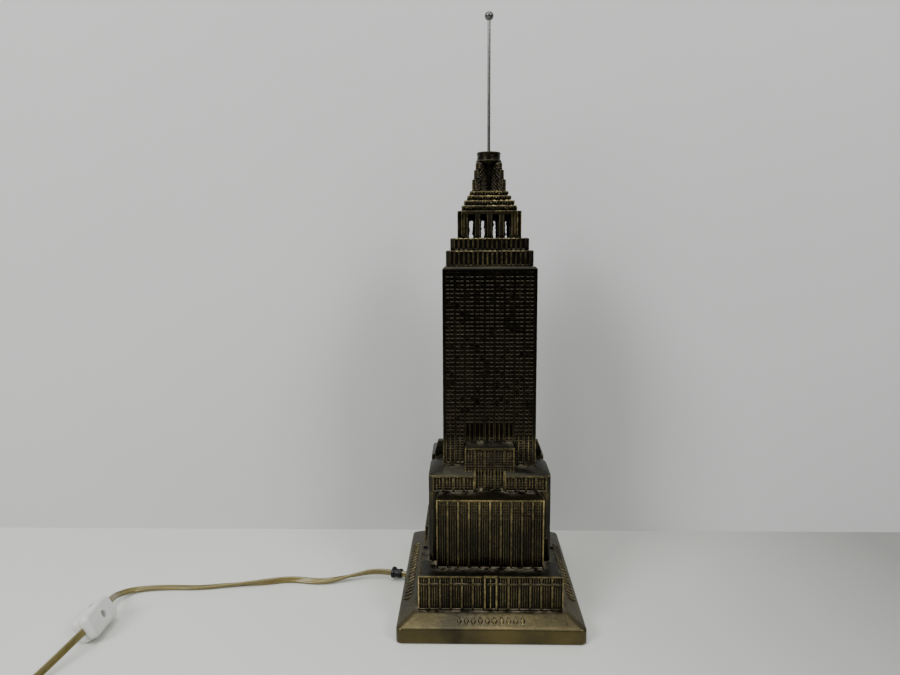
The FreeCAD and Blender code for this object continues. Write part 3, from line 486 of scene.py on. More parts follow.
def flex():
    """Clear gold PVC over twisted copper: strands show as fine slanting lines under a gloss skin."""
    n = Nodes("gold_flex")
    lay = n.add("Attribute", {"attribute_name": "lay"}).outputs["Vector"]
    twist = n.math("ADD", n.times(n.part("X", lay), 900.0), n.times(n.part("Y", lay), 18.0))
    strand = n.span(n.math("SINE", twist), -1.0, 1.0)
    web = n.span(n.part("Z", lay), 0.15, 0.6)
    blotch = n.span(n.noise(70, 3), 0.35, 0.7)
    copper = n.mix(strand, (0.045, 0.035, 0.008), (0.23, 0.188, 0.058))
    skin = n.mix(blotch, (0.165, 0.13, 0.031), (0.10, 0.077, 0.013))
    colour = n.mix(n.times(web, 0.62), skin, copper)
    n.bump(strand, 0.12, 0.08 * MM)
    n.set(Coat_Weight=0.5, Coat_Roughness=0.1)
    return n.set(Base_Color=colour, Roughness=0.3, Metallic=0.25)


def felt():
    """Green baize: a short, matted pile."""
    n = Nodes("baize")
    pile, tuft = n.noise(1600, 6, 0.8), n.noise(260, 3)
    n.bump(n.math("ADD", pile, tuft), 0.7, 0.3 * MM)
    colour = n.mix(n.span(tuft, 0.3, 0.7), (0.01, 0.05, 0.022), (0.03, 0.11, 0.05))
    n.set(Sheen_Weight=0.5, Sheen_Roughness=0.5)
    return n.set(Base_Color=colour, Roughness=0.95)


def glass():
    """Thin clear glass with faint ripples."""
    n = Nodes("clear_glass")
    n.bump(n.noise(180, 2), 0.08, 0.1 * MM)
    smear = n.span(n.noise(90, 4), 0.4, 0.8, 0.02, 0.1)
    return n.set(Base_Color=(0.96, 0.97, 0.96), Transmission_Weight=1.0, IOR=1.45, Roughness=smear)


MATERIALS = {
    "patinated_casting": bronze(),
    "bright_metal": metal("polished_nickel", (0.15, 0.145, 0.138), 0.2, 0.16),
    "sheet_steel": metal("zinc_plate", (0.42, 0.42, 0.40), 0.32, 0.2),
    "contact_brass": metal("brass", (0.62, 0.43, 0.16), 0.22, 0.18),
    "filament": metal("tungsten", (0.2, 0.2, 0.2), 0.45),
    "felt": felt(),
    "insulator": moulded("phenolic", (0.028, 0.017, 0.012), (0.06, 0.045, 0.035), 0.3),
    "black_nylon": moulded("black_nylon", (0.003, 0.003, 0.0035), (0.009, 0.009, 0.008), 0.3, gloss=0.25),
    "white_case": moulded("aged_white", (0.62, 0.62, 0.60), (0.30, 0.29, 0.25), 0.3, 0.1),
    "clear_glass": glass(),
    "gold_flex": flex(),
    "tie": moulded("vinyl_tie", (0.02, 0.02, 0.022), (0.06, 0.06, 0.06), 0.4),
}


def finish_with(piece, slot):
    """Give a new piece the material of a record's slot."""
    piece.data.materials.clear()
    piece.data.materials.append(MATERIALS[slot])
    return piece


# every CAD node that stays gets the material of its slot
SLOTS = {row["node"]: row["material_slot"] for row in frame["record"]["subparts"]}
for name, thing in frame["nodes"].items():
    for place in thing.material_slots:
        place.link = "OBJECT"
        place.material = MATERIALS[SLOTS[name]]


# ---- castings

FRONTS, SIDES = (0, 2), (1, 3)


def side_by_side(*groups):
    """Groups of lines put end to end and centred on the face."""
    start = -sum(group[-1][0] for group in groups)
    lines = []
    for group in groups:
        middle = start + group[-1][0]
        lines += [(u + middle, *rest) for u, *rest in (group[1:] if lines else group)]
        start += 2 * group[-1][0]
    return lines


def ring_of_walls(corners, reliefs):
    """The outline of a polygon, counterclockwise from above, for rows whose half sizes are 1."""
    table = []
    for face, (start, lines) in enumerate(zip(corners, reliefs)):
        end = corners[(face + 1) % len(corners)]
        run = math.dist(start, end)
        ax, ay = (end[0] - start[0]) / run, (end[1] - start[1]) / run
        for u, spandrel, window, bay in lines[:-1]:
            reach = u + run / 2
            table.append((start[0] + ax * reach, start[1] + ay * reach, ay, -ax, spandrel, window, bay, face))
    return np.array(table)


def hull(points):
    """The convex solid round some points."""
    shape = bmesh.new()
    for point in points:
        shape.verts.new(Vector(point) * MM)
    bmesh.ops.convex_hull(shape, input=list(shape.verts))
    bmesh.ops.delete(shape, geom=[v for v in shape.verts if not v.link_faces], context="VERTS")
    mesh = bpy.data.meshes.new("hull")
    shape.to_mesh(mesh)
    shape.free()
    return link("hull", mesh)


def gather(pieces):
    """Separate pieces made into one object."""
    points, faces = [], []
    for piece in pieces:
        first = len(points)
        points += [v.co / MM for v in piece.data.vertices]
        faces += [[first + k for k in face.vertices] for face in piece.data.polygons]
        discard(piece)
    return new_mesh(points, faces)


def lozenges(count, pitch, way):
    """A row of raised lozenges along the middle of the plinth's bevel on one side."""
    rise = math.atan2(BEVEL_TOP - PLINTH_SIDE, (PLINTH[0] - LEDGE[0]) / 2)
    out, along = Vector((*way, 0)), Vector((-way[1], way[0], 0))
    reach = (PLINTH[0] + LEDGE[0]) / 4 if way[0] else (PLINTH[1] + LEDGE[1]) / 4
    upward = UP * math.sin(rise) - out * math.cos(rise)
    normal = out * math.sin(rise) + UP * math.cos(rise)
    row = out * reach + UP * ((PLINTH_SIDE + BEVEL_TOP) / 2)
    diamond = ((1, 0), (0, 1.8), (-1, 0), (0, -1.8))
    pieces = []
    for k in range(count):
        middle = row + along * (k - (count - 1) / 2) * pitch
        pieces.append(hull([
            middle + along * a * size + upward * b * size + normal * height
            for size, height in ((2.3, -0.5), (2.1, 0.45), (1.3, 1.0)) for a, b in diamond]))
    return pieces


def bead(start, end, size):
    """A lumpy run of old residue along a foot of a wall, half sunk in what it lies on."""
    start, end = Vector(start), Vector(end)
    rows, columns = max(6, int((end - start).length / 0.8)), 10
    ahead = (end - start).normalized()
    level = UP.cross(ahead)
    points = []
    for row in range(rows):
        middle = start.lerp(end, row / (rows - 1))
        swell = size * (0.75 + 0.6 * noise.noise(middle * 0.23)) * (0.25 if row in (0, rows - 1) else 1.0)
        for k in range(columns):
            angle = math.tau * k / columns
            lump = swell * (1 + 0.35 * noise.noise(middle * 0.5 + Vector((0, 0, k))))
            lift = UP * (math.sin(angle) * lump * 0.8)
            points.append(middle + level * math.cos(angle) * lump * 1.25 + lift)
    return turned_out(new_mesh(points, tube_faces(rows, columns)))


def plinth():
    inset = ((0, 1.5), (0.35, 0.75), (1.0, 0.2), (1.9, 0), (10.9, 0), (11.8, 0.15), (12.5, 0.6),
             (13.1, 1.4), (13.75, 2.4), (18.6, 11.3), (19.1, 12.3), (19.3, 13.4))
    lines = outline(*PLINTH, *map(plain, less(PLINTH, 9)), corner=4.5, arc=8)
    return stack(lines, half(PLINTH), [(z, 0, 0, half(PLINTH, i)) for z, i in inset])


def podium():
    """Ribbed walls, set back in the middle of each side, with a string course and a door."""
    x, y, jog, end = PODIUM[0] / 2, PODIUM[1] / 2, PODIUM[0] / 2 - JOG, JOG_LENGTH / 2
    fine = dict(margin=0.2, rib=1.4, mullion=0.4, mullions=3, window=1.0, spandrel=0.7, slope=0.12, sunk=0.68)
    door = strip(0, -5.2, -4.0) + strip(1.2, -3.7, 3.7) + strip(0, 4.0, 5.2)
    six = bays(x - 5.2, 6, **fine)
    front, flank, middle = side_by_side(six, door, six), bays(y - end, 6, **fine), bays(2 * end, 5, **fine)
    step = plain(JOG)
    corners = [(-x, -y), (x, -y), (x, -end), (jog, -end), (jog, end), (x, end)]
    corners += [(-u, -v) for u, v in corners]
    lines = ring_of_walls(corners, [front, flank, step, middle, step, flank] * 2)
    rows = [(16.3, 0, 0), (20.3, 0, 0), (20.6, 1, 0.4), (22.2, 1, 0.4), (22.5, 1, 1), (39.4, 1, 1),
            (39.8, 0.35, 0), (41.0, 0.35, 0), (41.3, 1, 1), (45.5, 1, 1), (45.9, 0, 0),
            (PODIUM_TOP + 0.02, 0, 0)]
    walls = stack(lines, (1, 1), rows)
    lip = 1.4
    ends = (2 * (x - lip), y - end - 2 * lip)
    gutters = [room(ends, GUTTER, 60, (0, way * (y + end) / 2)) for way in (-1, 1)]
    gutters.append(room((2 * (jog - lip), 2 * (end + 2 * lip)), GUTTER, 60))
    cut(walls, gutters)
    frames = []
    for way in (-1, 1):
        front = way * (y + 0.2)
        frames += [room((1.3, 1.8), 19.0, 48.0, (side * 4.5, front)) for side in (-1, 1)]
        frames += [room((10.3, 1.8), 46.6, 48.4, (0, front)),
                   room((0.8, 1.2), 19.2, 46.8, (0, way * (y - 0.9)))]
    return join(walls, frames)


def panel():
    """The tall ribbed panel on the front and back of the block, with its sloped top."""
    fine = dict(rib=1.35, mullion=0.4, mullions=3, window=1.1, spandrel=0.75, slope=0.12, sunk=0.7)
    flank = bays((PANEL[1] - BLOCK[1]) / 2, 1, margin=0.4, **{**fine, "mullions": 5})
    front = bays(PANEL[0], 10, margin=0.5, **fine)
    lines = outline(*PANEL, front, side_by_side(flank, plain(BLOCK[1]), flank))
    rows = [(44.3, 0, 0), (47.2, 0, 0), (47.6, 1, 1), (86.9, 1, 1), *storeys(87.2, 2.4, 6, 0.5, 0.7),
            (101.7, 1, 0), (102.0, 0, 0), (PANEL_TOP, 0, 0),
            (WING_FOOT, 0, 0, (PANEL[0] / 2 - 2, BLOCK[1] / 2 - 0.3))]
    return stack(lines, half(PANEL), rows)


def block():
    """The block behind the panel: wings of windows above it, and a hipped roof."""
    corners = 2 * BLOCK_CHAMFER
    fine = dict(margin=0.35, rib=1.7, mullion=0.45, mullions=2, window=1.4, spandrel=1.1, sunk=0.55)
    wing = bays((BLOCK[0] - corners) / 2 - 12.1, 4, **fine)
    flank = bays((BLOCK[1] - corners - NOTCH) / 2, 4, **fine)
    front, side = side_by_side(wing, plain(24.2), wing), side_by_side(flank, plain(NOTCH), flank)
    lines = outline(*BLOCK, front, side, corner=BLOCK_CHAMFER)

    def sides(bay, face):
        return float(face in SIDES)

    rows = [(44.4, 0, 0), (48.4, 0, 0), (48.8, sides, 1), (103.2, sides, 1), (103.6, 0, 0),
            (WING_FOOT + 0.5, 0, 0), *storeys(WING_FOOT + 0.9, 2.15, 5, 0.35, 0.5),
            (116.75, 1, 0.3), (117.0, 0, 0), (WING_TOP, 0, 0)]
    body = stack(lines, half(BLOCK), rows)
    eaves = [(x * BLOCK[0] / 2, y * BLOCK[1] / 2) for x, y in ((1, 1), (1, -1), (-1, -1), (-1, 1))]
    points = [(x * SHAFT[0] / 2, y * SHAFT[1] / 2, SHAFT_FOOT) for x in (-1, 1) for y in (-1, 1)]
    for x, y in eaves:
        for z in (WING_TOP - 0.4, WING_TOP):
            points.append((x - math.copysign(BLOCK_CHAMFER, x), y, z))
            points.append((x, y - math.copysign(BLOCK_CHAMFER, y), z))
    return join(body, [hull(points)])


def base_casting():
    """The base: plinth, podium, panel and block over the rooms of the design."""
    base = join(plinth(), [podium(), panel(), block()])
    badges = lozenges(10, 5.4, (0, -1)) + lozenges(19, 5.6, (1, 0)) + lozenges(19, 5.6, (-1, 0))
    join(base, [gather(badges)])
    cuts = []
    for way in (-1, 1):
        wall = way * SIDE_BAY_REACH / 2
        # the side's notch, the stem's recess, the notch's grooves and the slots beside the panel
        cuts.append(room((8, NOTCH), PODIUM_ROOF_TOP, 130, (way * (SIDE_BAY_REACH / 2 + 4), 0)))
        cuts.append(room((STEM + 0.3, 20), WING_FOOT, 130, (0, way * (SHAFT[1] / 2 + 10))))
        cuts += [room((1.6, 2.2), 50, 115.5, (wall, place)) for place in (-6, -2, 2, 6)]
        for middle, wide, top in ((-44.4, 2.4, 52.5), (45.7, 4.6, 66.0)):
            cuts.append(room((wide, 3.6), GUTTER, top, (middle, way * BLOCK[1] / 2)))
    cuts += [
        room(less(PLINTH, 2 * WALL), -1, 2.6),  # the cover's recess
        room(less(PLINTH, 10), 2.5, 9.6),
        frustum(less(PLINTH, 10), less(LEDGE, 10), 9.59, 16.3),  # behind the bevel
        room((PODIUM[0] - 12, PODIUM[1] - 6), 16.2, 44.2),
        room(less(PANEL, 6), 44.1, PANEL_TOP - WALL),
        room((SIDE_BAY_REACH - 6, BLOCK[1] - 2 * WALL), 44.1, WING_FOOT - WALL),
        room((SIDE_BAY_REACH - 6, SHAFT[1] - 6), 101.9, 115.2),
        room((60, 60), 115.1, 130),  # up into the shaft
    ]
    cut(base, cuts)
    # residue at the feet of the panel, the stems and the shaft: from x, to x, y, height, size
    feet = [(-42, 42, 61.0, GUTTER, 1.1), (-11.6, 11.6, 42.6, WING_FOOT + 0.3, 2.3)]
    beads = [bead((low, way * y, z), (high, way * y, z), size)
             for low, high, y, z, size in feet for way in (-1, 1)]
    beads += [bead((side * 21, way * 38.4, 124.5), (side * 35, way * 38.4, 124.5), 1.2)
              for way in (-1, 1) for side in (-1, 1)]
    join(base, beads)
    bosses = [lathe([(4.5, 2.6), (4.5, 13.5)], 24, place) for place in COVER_SCREWS]
    join(base, [gather(bosses)])
    holes = [lathe([(1.5, 2), (1.5, 15.2)], 16, place) for place in COVER_SCREWS]
    hole = laid_along_x(lathe([(4.5, 0), (4.5, 20)], 32), CORD_HOLE)
    cut(base, [gather(holes), hole])

    def free(point):
        x, y, z = point
        outer = z > 3 and (abs(x) > 42 or abs(y) > 46) and z < WING_TOP - 0.1
        return outer or 19 < z < PODIUM_ROOF_TOP

    roughen(base, 0.16, 0.35, free)
    return base


def shaft_walls():
    """Forty storeys of window pairs; the lower ones run together into tall grooves."""
    rows = [(SHAFT_FOOT + 0.05, 0, 0), (126.4, 0, 0), (126.8, 1, 1)]
    rows += [(z, 1, 0.55 + 0.45 * share) for z, _, share in storeys(127.2, 2.15, 10, 0.12, 0.5, 0.12)]
    for z, _, share in storeys(277.3 - 39 * 3.25 - 0.8, 3.25, 40, 0.85, 1.15, 0.2):
        tall = z < 159.5

        def windows(bay, face, share=share, tall=tall):
            return 1.0 if tall and 2 <= bay <= 6 and face in FRONTS else share

        rows.append((z, 1, windows))
    rows += [(280.4, 1, 0), (280.7, 1, 0.5), (281.3, 1, 0.5), (281.6, 0, 0), (SHAFT_TOP, 0, 0),
             (RIM_TOP, 0, 0, half(SHAFT, RIM_INSET))]
    fine = dict(margin=1.95, rib=1.9, mullion=0.75, spandrel=0.32, window=0.95, slope=0.15)
    lines = outline(*SHAFT, *(bays(length, 9, **fine) for length in SHAFT))
    return stack(lines, half(SHAFT), rows)


BAY_RIBS = dict(rib=1.5, mullion=0.5, mullions=2, spandrel=0.75, window=1.1, slope=0.12, sunk=0.5)


def front_bays():
    """The bays on the front and back, in one piece through the shaft."""
    lines = outline(*BAY, bays(BAY[0], 5, margin=0.15, **BAY_RIBS), plain(BAY[1]))
    rows = [(WING_TOP + 0.05, 0, 0), (118.6, 1, 0), *storeys(118.8, 2.08, 9, 0.45, 0.62),
            (138.6, 1, 0), (138.8, 0, 0), (BAY_TOP, 0, 0),
            (BAY_ROOF_TOP, 0, 0, (BAY[0] / 2 - 1.5, SHAFT[1] / 2 - 1.2))]
    return stack(lines, half(BAY), rows)


def side_bays():
    sizes = (SIDE_BAY_REACH, NOTCH)
    front = bays(NOTCH, 2, margin=0.2, rib=1.7, mullion=0.6, slope=0.12)
    rows = [(WING_TOP + 0.05, 0, 0), (118.8, 1, 1), (125.4, 1, 1), (125.7, 0, 0), (SIDE_BAY_TOP, 0, 0),
            (SIDE_BAY_ROOF_TOP, 0, 0, (SIDE_BAY_REACH / 2 - 2.5, 3.0))]
    return stack(outline(*sizes, plain(SIDE_BAY_REACH), front), half(sizes), rows)


def stem(way):
    sizes = (STEM, 6.5)
    lines = outline(*sizes, bays(STEM, 3, margin=0.1, **BAY_RIBS), plain(6.5))
    rows = [(WING_FOOT + 0.05, 0, 0), (105.4, 1, 0), *storeys(105.8, 2.08, 6, 0.45, 0.62),
            (118.5, 1, 0.9), (121.0, 1, 0.9)]
    return stack(lines, half(sizes), rows, centre=(0, way * 41.1))


def shaft_casting():
    low = join(front_bays(), [side_bays()])
    cut(low, [frustum(BLOCK, SHAFT, WING_TOP + 0.05, SHAFT_FOOT + 0.05)])  # over the base's roof
    shaft = join(shaft_walls(), [low, stem(-1), stem(1)])
    cut(shaft, [room((69, 69.4), 100, 281), room((58, 58), 280.9, 290)])
    join(shaft, [room((6.9, 18), 206, 214, (way * 31.45, 0)) for way in (-1, 1)])

    def free(point):
        return 125.2 < point[2] < RIM_TOP - 0.1 and max(abs(point[0]), abs(point[1])) > 35.5

    roughen(shaft, 0.14, 0.4, free)
    return shaft


def slit(way, place):
    """A lantern opening: square-headed outside, narrower, lower and ragged inside."""
    rng = np.random.default_rng(500 + int(place * 10) + way * 1000)
    columns, rows = 40, 7
    points = []
    ragged = rng.normal(0, 1, columns)
    for row in range(rows):
        depth = row / (rows - 1)
        width = OPENING + (3.0 - OPENING) * min(1.0, depth * 1.4)
        top = OPENING_TOP - 5.0 * min(1.0, depth * 1.5)
        for k in range(columns):
            angle = math.tau * (k + 0.5) / columns
            c, s = math.cos(angle), math.sin(angle)
            big = max(abs(c), abs(s))
            u, v = c / big * width / 2, s / big
            z = TIER_TWO_TOP + (top - TIER_TWO_TOP) * (v + 1) / 2
            rough = 0.42 * depth * ragged[k] * (v > -0.99)
            u += rough * (1 if c > 0 else -1) * (abs(c) >= abs(s))
            z += rough * (s > 0 and abs(s) > abs(c))
            out = (26.5 - 8.5 * depth) * (1 if way in (1, 2) else -1)
            points.append((place + u, out, z) if way in FRONTS else (out, place + u, z))
    return new_mesh(points, tube_faces(rows, columns))


def turned_out(piece):
    """Make a closed piece's faces point outwards."""
    shape = bmesh.new()
    shape.from_mesh(piece.data)
    bmesh.ops.recalc_face_normals(shape, faces=list(shape.faces))
    shape.to_mesh(piece.data)
    shape.free()
    return piece


def lantern():
    wide, face = LANTERN / 2, LANTERN_FACE / 2
    pilaster = (strip(0, -2.45, -1.5) + strip(0.6, -1.3, -0.9) + strip(0, -0.7, 0.6)
                + strip(0.6, 0.8, 1.2) + strip(0, 1.4, 2.45))
    front = side_by_side(pilaster, plain(LANTERN_FACE - 9.8), pilaster)
    step = strip(0, -1.5, -0.9) + strip(0.4, -0.7, -0.2) + strip(0, 0, 1.5)
    corners, quarter = [], [(-face, -wide), (face, -wide), (face, -face)]
    for _ in range(4):
        corners += quarter
        quarter = [(-y, x) for x, y in quarter]
    lines = ring_of_walls(corners, [front, step, step] * 4)
    rows = [(306, 0, 1), (308.2, 0, 1), (308.5, 1, 1), (326.6, 1, 1), (326.9, 0, 1), (LANTERN_TOP, 0, 1)]
    return stack(lines, (1, 1), rows)


def tier(width, foot, top, count):
    square = (width, width)
    lines = bays(width - 6, count, margin=0.2, rib=1.25, mullions=0, spandrel=0.8, window=1.15, slope=0.25)
    bars = storeys(foot + 1.0, 1.6, int((top - foot - 2.3) / 1.6), 0.3, 0.35, 0.3)
    under = foot - 0.4 if foot > CROWN_FOOT else foot
    rows = [(under, 0, 0, half(square, 0.9)), (foot + 0.35, 0, 0, half(square, 0.3)),
            (foot + 0.8, 0.3, 0), (foot + 1.0, 1, 1)]
    rows += [(z, 1, 0.7 + 0.3 * share) for z, _, share in bars]
    rows += [(top - 1.3, 1, 0.8), (top - 1.0, 0, 0), (top - 0.5, 0, 0, half(square, 0.12)),
             (top, 0, 0, half(square, 0.7))]
    return stack(outline(*square, lines, lines, corner=3.0, arc=8), half(square), rows)


def steps():
    """Four square steps, each with a rough row of dentils under its rounded edge."""
    pieces, foot = [], LANTERN_TOP
    # share of the height, relief and inset
    swelling = ((0.06, 0, 0.6), (0.2, 1, 0.15), (0.42, 1, 0), (0.55, 0.3, 0), (0.75, 0, 0.1), (0.9, 0, 0.45))
    for width, top in STEPS:
        square = (width, width)
        lines = bays(width - 2.8, round(width / 2.4), margin=0.2, rib=1.2, mullions=0, spandrel=0.6,
                     window=0.6, slope=0.35)
        rows = [(foot - 0.6, 0, 0, half(square, 0.7))]
        rows += [(foot + share * (top - foot), relief, 0, half(square, inset))
                 for share, relief, inset in swelling]
        rows.append((top, 0, 0, half(square, 1.1)))
        pieces.append(stack(outline(*square, lines, lines, corner=1.4, arc=4), half(square), rows))
        foot = top
    return pieces


def buttress(turn):
    """One feathered fin of the mast: stepped edge, grooves rising towards the core."""
    across, down = 34, 52
    points = []
    for row in range(down):
        z = MAST_FOOT - 0.5 + (MAST_TOP - MAST_FOOT + 0.5) * row / (down - 1)
        reach = next(r for r, top in BUTTRESSES if z <= top + 0.01) / 2
        reach -= 0.1 + 0.45 * abs(math.sin(z * 1.6))
        ring = []
        for k in range(across):
            u = 1.0 + (reach - 1.0) * k / (across - 1)
            groove = 0.5 + 0.5 * math.sin(math.tau * (z + 0.9 * u) / 2.9)
            rough = noise.noise(Vector((u, z, turn)) * 0.8)
            flat = float(0 < k < across - 1)
            spine = 1.0 if abs(k - across * 0.62) > 1.2 else 0.3
            ring.append((u, BUTTRESS_THICK / 2 - flat * (1.25 * groove * spine + 0.25 * rough + 0.25)))
        ring = ring + [(u, -t) for u, t in reversed(ring)]
        c, s = math.cos(turn), math.sin(turn)
        points += [(u * c - t * s, u * s + t * c, z) for u, t in ring]
    return turned_out(new_mesh(points, tube_faces(down, 2 * across)))


def switch_frame():
    """Where the switch lies: X back towards the lamp, Y its width, Z out of the screw's face."""
    come, leave = Vector(LAMP_ROUTE[-1]), Vector(SUPPLY_ROUTE[0])
    back = (come - leave).normalized()
    level = back.cross(UP).normalized()
    out = level * math.cos(CASE_TILT) + UP * math.sin(CASE_TILT)
    turn = Matrix((back, out.cross(back), out)).transposed().to_4x4()
    return Matrix.Translation((come + leave) / 2 * MM) @ turn


def switch_shell(way):
    """Half of the switch's case: softly rounded, with a V at the parting and its rooms cut out."""
    size, deep, soft = CASE_SIZE, CASE_DEEP, CASE_SOFT
    rows = [(0.04, 0.6), (0.55, 0.08), (0.9, 0.0), (deep - soft, 0.0)]
    rows += [(deep - soft + soft * math.sin(a), soft * (1 - math.cos(a)))
             for a in np.linspace(0.2, math.pi / 2, 8)]
    rows = [(way * z, 0, 0, half(size, inset)) for z, inset in rows]
    lines = outline(*size, *map(plain, less(size, 9)), corner=4.5, arc=8)
    case = stack(lines, half(size), rows)
    wire = laid_along_x(lathe([(1.4, -17.6), (1.4, 17.6)], 16), WIRE_PLACE)
    cuts = [lathe([(5.6, -2.1), (5.6, 2.1)], 32, WHEEL_PLACE),
            lathe([(1.56, -3.6), (1.56, 3.6)], 16, WHEEL_PLACE),
            room((24, 6), -1.8, 1.8, (1.7, 4.6)), wire,
            lathe([(1.25, -10), (1.25, 10)], 16, SCREW_PLACE),
            lathe([(3.0, way * 5.3), (3.15, way * 9.4)], 32 if way > 0 else 6, SCREW_PLACE)]
    cut(turned_out(case), [turned_out(piece) for piece in cuts])
    case.data.transform(switch_frame())
    return case


def crown_casting():
    skirt = room((SKIRT, SKIRT), SKIRT_FOOT, CROWN_FOOT + 1)
    tiers = [tier(TIER_ONE, CROWN_FOOT, TIER_ONE_TOP, 17), tier(TIER_TWO, TIER_ONE_TOP, TIER_TWO_TOP, 15)]
    core = lathe([(MAST_RADIUS, MAST_FOOT - 0.5), (MAST_RADIUS, MAST_TOP)], 32)
    fins = [buttress(math.pi / 4 + k * math.pi / 2) for k in range(4)]
    crown = join(skirt, tiers + [lantern()] + steps() + [core] + fins)
    slits = [turned_out(slit(way, (k - 1.5) * OPENING_PITCH)) for way in range(4) for k in range(4)]
    rooms = [room((width, width), low, high) for width, low, high in
             ((52, 270, 304.2), (38, 304.1, 328), (30, 327.9, 333), (24, 332.9, 341.5))]
    rooms.append(lathe([(1.35, 340), (1.35, 372)], 24))
    cut(crown, slits + rooms)

    def free(point):
        return point[2] > CROWN_FOOT + 0.1 and max(abs(point[0]), abs(point[1])) > 2

    roughen(crown, 0.22, 0.55, free)
    roughen(crown, 0.7, 1.1, lambda point: LANTERN_TOP + 0.2 < point[2] < MAST_FOOT + 0.1)
    return crown


def mast_cap():
    """The cap: a rounded ring under an uneven, hammered drum, bored for the rod."""
    profile = [(1.35, MAST_TOP), (9.4, MAST_TOP), (9.7, 368.1), (9.8, 368.4)]
    for k in range(9):
        angle = -math.pi / 2 + math.pi * k / 8
        profile.append((CAP_RADIUS - 0.95 + 0.95 * math.cos(angle), 369.4 + 0.95 * math.sin(angle)))
    profile += [(9.6, 370.7)] + [(9.5, 371.5 + 0.55 * k) for k in range(7)]
    profile += [(9.85, 375.6), (9.95, 376.1), (9.7, 376.5), (9.0, CAP_TOP)]
    profile += [(radius, 376.6) for radius in (6, 3, 1.35)]
    turns = 64
    points = []
    for radius, z in profile:
        for k in range(turns):
            angle = math.tau * k / turns
            rough = noise.noise(Vector((math.cos(angle) * 3.2, math.sin(angle) * 3.2, z * 0.9)))
            r = min(radius if radius < 2 else radius - 0.3 * rough, CAP_RADIUS)
            points.append((r * math.cos(angle), r * math.sin(angle), z))
    faces = tube_faces(len(profile), turns, capped=False)
    last = (len(profile) - 1) * turns
    for k in range(turns):
        d = (k + 1) % turns
        faces.append((last + k, last + d, d, k))
    return turned_out(new_mesh(points, faces))


BUILT = (
    ("base_casting", base_casting, "lamp"),
    ("shaft_casting", shaft_casting, "lamp"),
    ("crown_casting", crown_casting, "crown"),
    ("mast_cap", mast_cap, "crown"),
    ("switch_shell_front", lambda: switch_shell(1), "lamp"),
    ("switch_shell_back", lambda: switch_shell(-1), "lamp"),
)
for node, builder, body in BUILT:
    piece = builder()
    piece.name = piece.data.name = "shaped_" + node
    shade(piece, 35)
    finish_with(piece, SLOTS[node])
    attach(piece, body)
    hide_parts(node)


# ---- flex

def spline_points(route):
    """Points read from the smooth NURBS line that a route of control points makes, in mm."""
    curve = bpy.data.curves.new("line", "CURVE")
    curve.dimensions = "3D"
    curve.resolution_u = 12
    spline = curve.splines.new("NURBS")
    spline.points.add(len(route) - 1)
    for point, place in zip(spline.points, route):
        point.co = (*(c * MM for c in place), 1.0)
    spline.order_u = 3
    spline.use_endpoint_u = True
    carrier = link("line", curve)
    mesh = evaluated_mesh(carrier)
    points = np.array([v.co for v in mesh.vertices]) / MM
    bpy.data.objects.remove(carrier)
    bpy.data.meshes.remove(mesh)
    bpy.data.curves.remove(curve)
    return points


def flex_section(steps=28):
    """The figure-eight section of two-core flex: width, thickness and how far off its groove."""
    lobe, apart = CORD_THICK / 2, (CORD_WIDTH - CORD_THICK) / 2
    section = []
    for k in range(steps):
        angle = math.tau * k / steps
        x = (CORD_WIDTH / 2) * math.copysign(abs(math.cos(angle)) ** 0.8, math.cos(angle))
        away = min(1.0, abs(x) / apart)
        depth = lobe * math.sqrt(max(0.0, 1 - (max(0.0, abs(x) - apart) / lobe) ** 2))
        depth *= 0.62 + 0.38 * away**0.8
        y = math.copysign(depth, math.sin(angle)) if abs(math.sin(angle)) > 1e-6 else 0.0
        section.append((x, y, away))
    return section


def sweep_flex(name, path, tilts):
    """A flat flex along a path, its section turned by the (share of length, degrees) in tilts."""
    shares, degrees = zip(*tilts)
    steps = np.linalg.norm(np.diff(path, axis=0), axis=1)
    reach = np.concatenate([[0], np.cumsum(steps)])
    section = flex_section()
    points, lay = [], []
    for k, place in enumerate(path):
        ahead = Vector(path[min(k + 1, len(path) - 1)] - path[max(k - 1, 0)]).normalized()
        level = UP.cross(ahead).normalized()
        up = ahead.cross(level)
        turn = math.radians(np.interp(reach[k] / reach[-1], shares, degrees))
        wide = level * math.cos(turn) + up * math.sin(turn)
        thick = ahead.cross(wide)
        for number, (x, y, away) in enumerate(section):
            points.append(Vector(place) + wide * x + thick * y)
            around = number / len(section) * math.tau
            lay.append((reach[k] * MM, around, away))
    piece = new_mesh(points, tube_faces(len(path), len(section)), 60, name)
    attribute = piece.data.attributes.new("lay", "FLOAT_VECTOR", "POINT")
    attribute.data.foreach_set("vector", np.array(lay).ravel())
    return piece, reach[-1]


def coil_route():
    """Control points of the wound spare flex: the lower layer inwards, then the upper outwards."""
    points = []
    turns = [(r, COIL_LAYERS[0]) for r in COIL_RADII] + [(r, COIL_LAYERS[1]) for r in reversed(COIL_RADII)]
    last = len(turns) - 1
    stretch = 1 / math.cos(math.pi / POINTS_PER_TURN)
    for k in range(int(COIL_TURNS * POINTS_PER_TURN) + 1):
        turn = k / POINTS_PER_TURN
        number = min(int(turn), last)
        share = min(1.0, max(0.0, (turn - number - 0.8) / 0.2))
        here, after = turns[number], turns[min(number + 1, last)]
        radius = here[0] + (after[0] - here[0]) * share
        height = here[1] + (after[1] - here[1]) * share
        angle = math.pi + math.tau * turn
        outward = Vector((math.cos(angle), math.sin(angle), 0))
        points.append(tuple(COIL_CENTRE + outward * radius * stretch + UP * height))
    return points


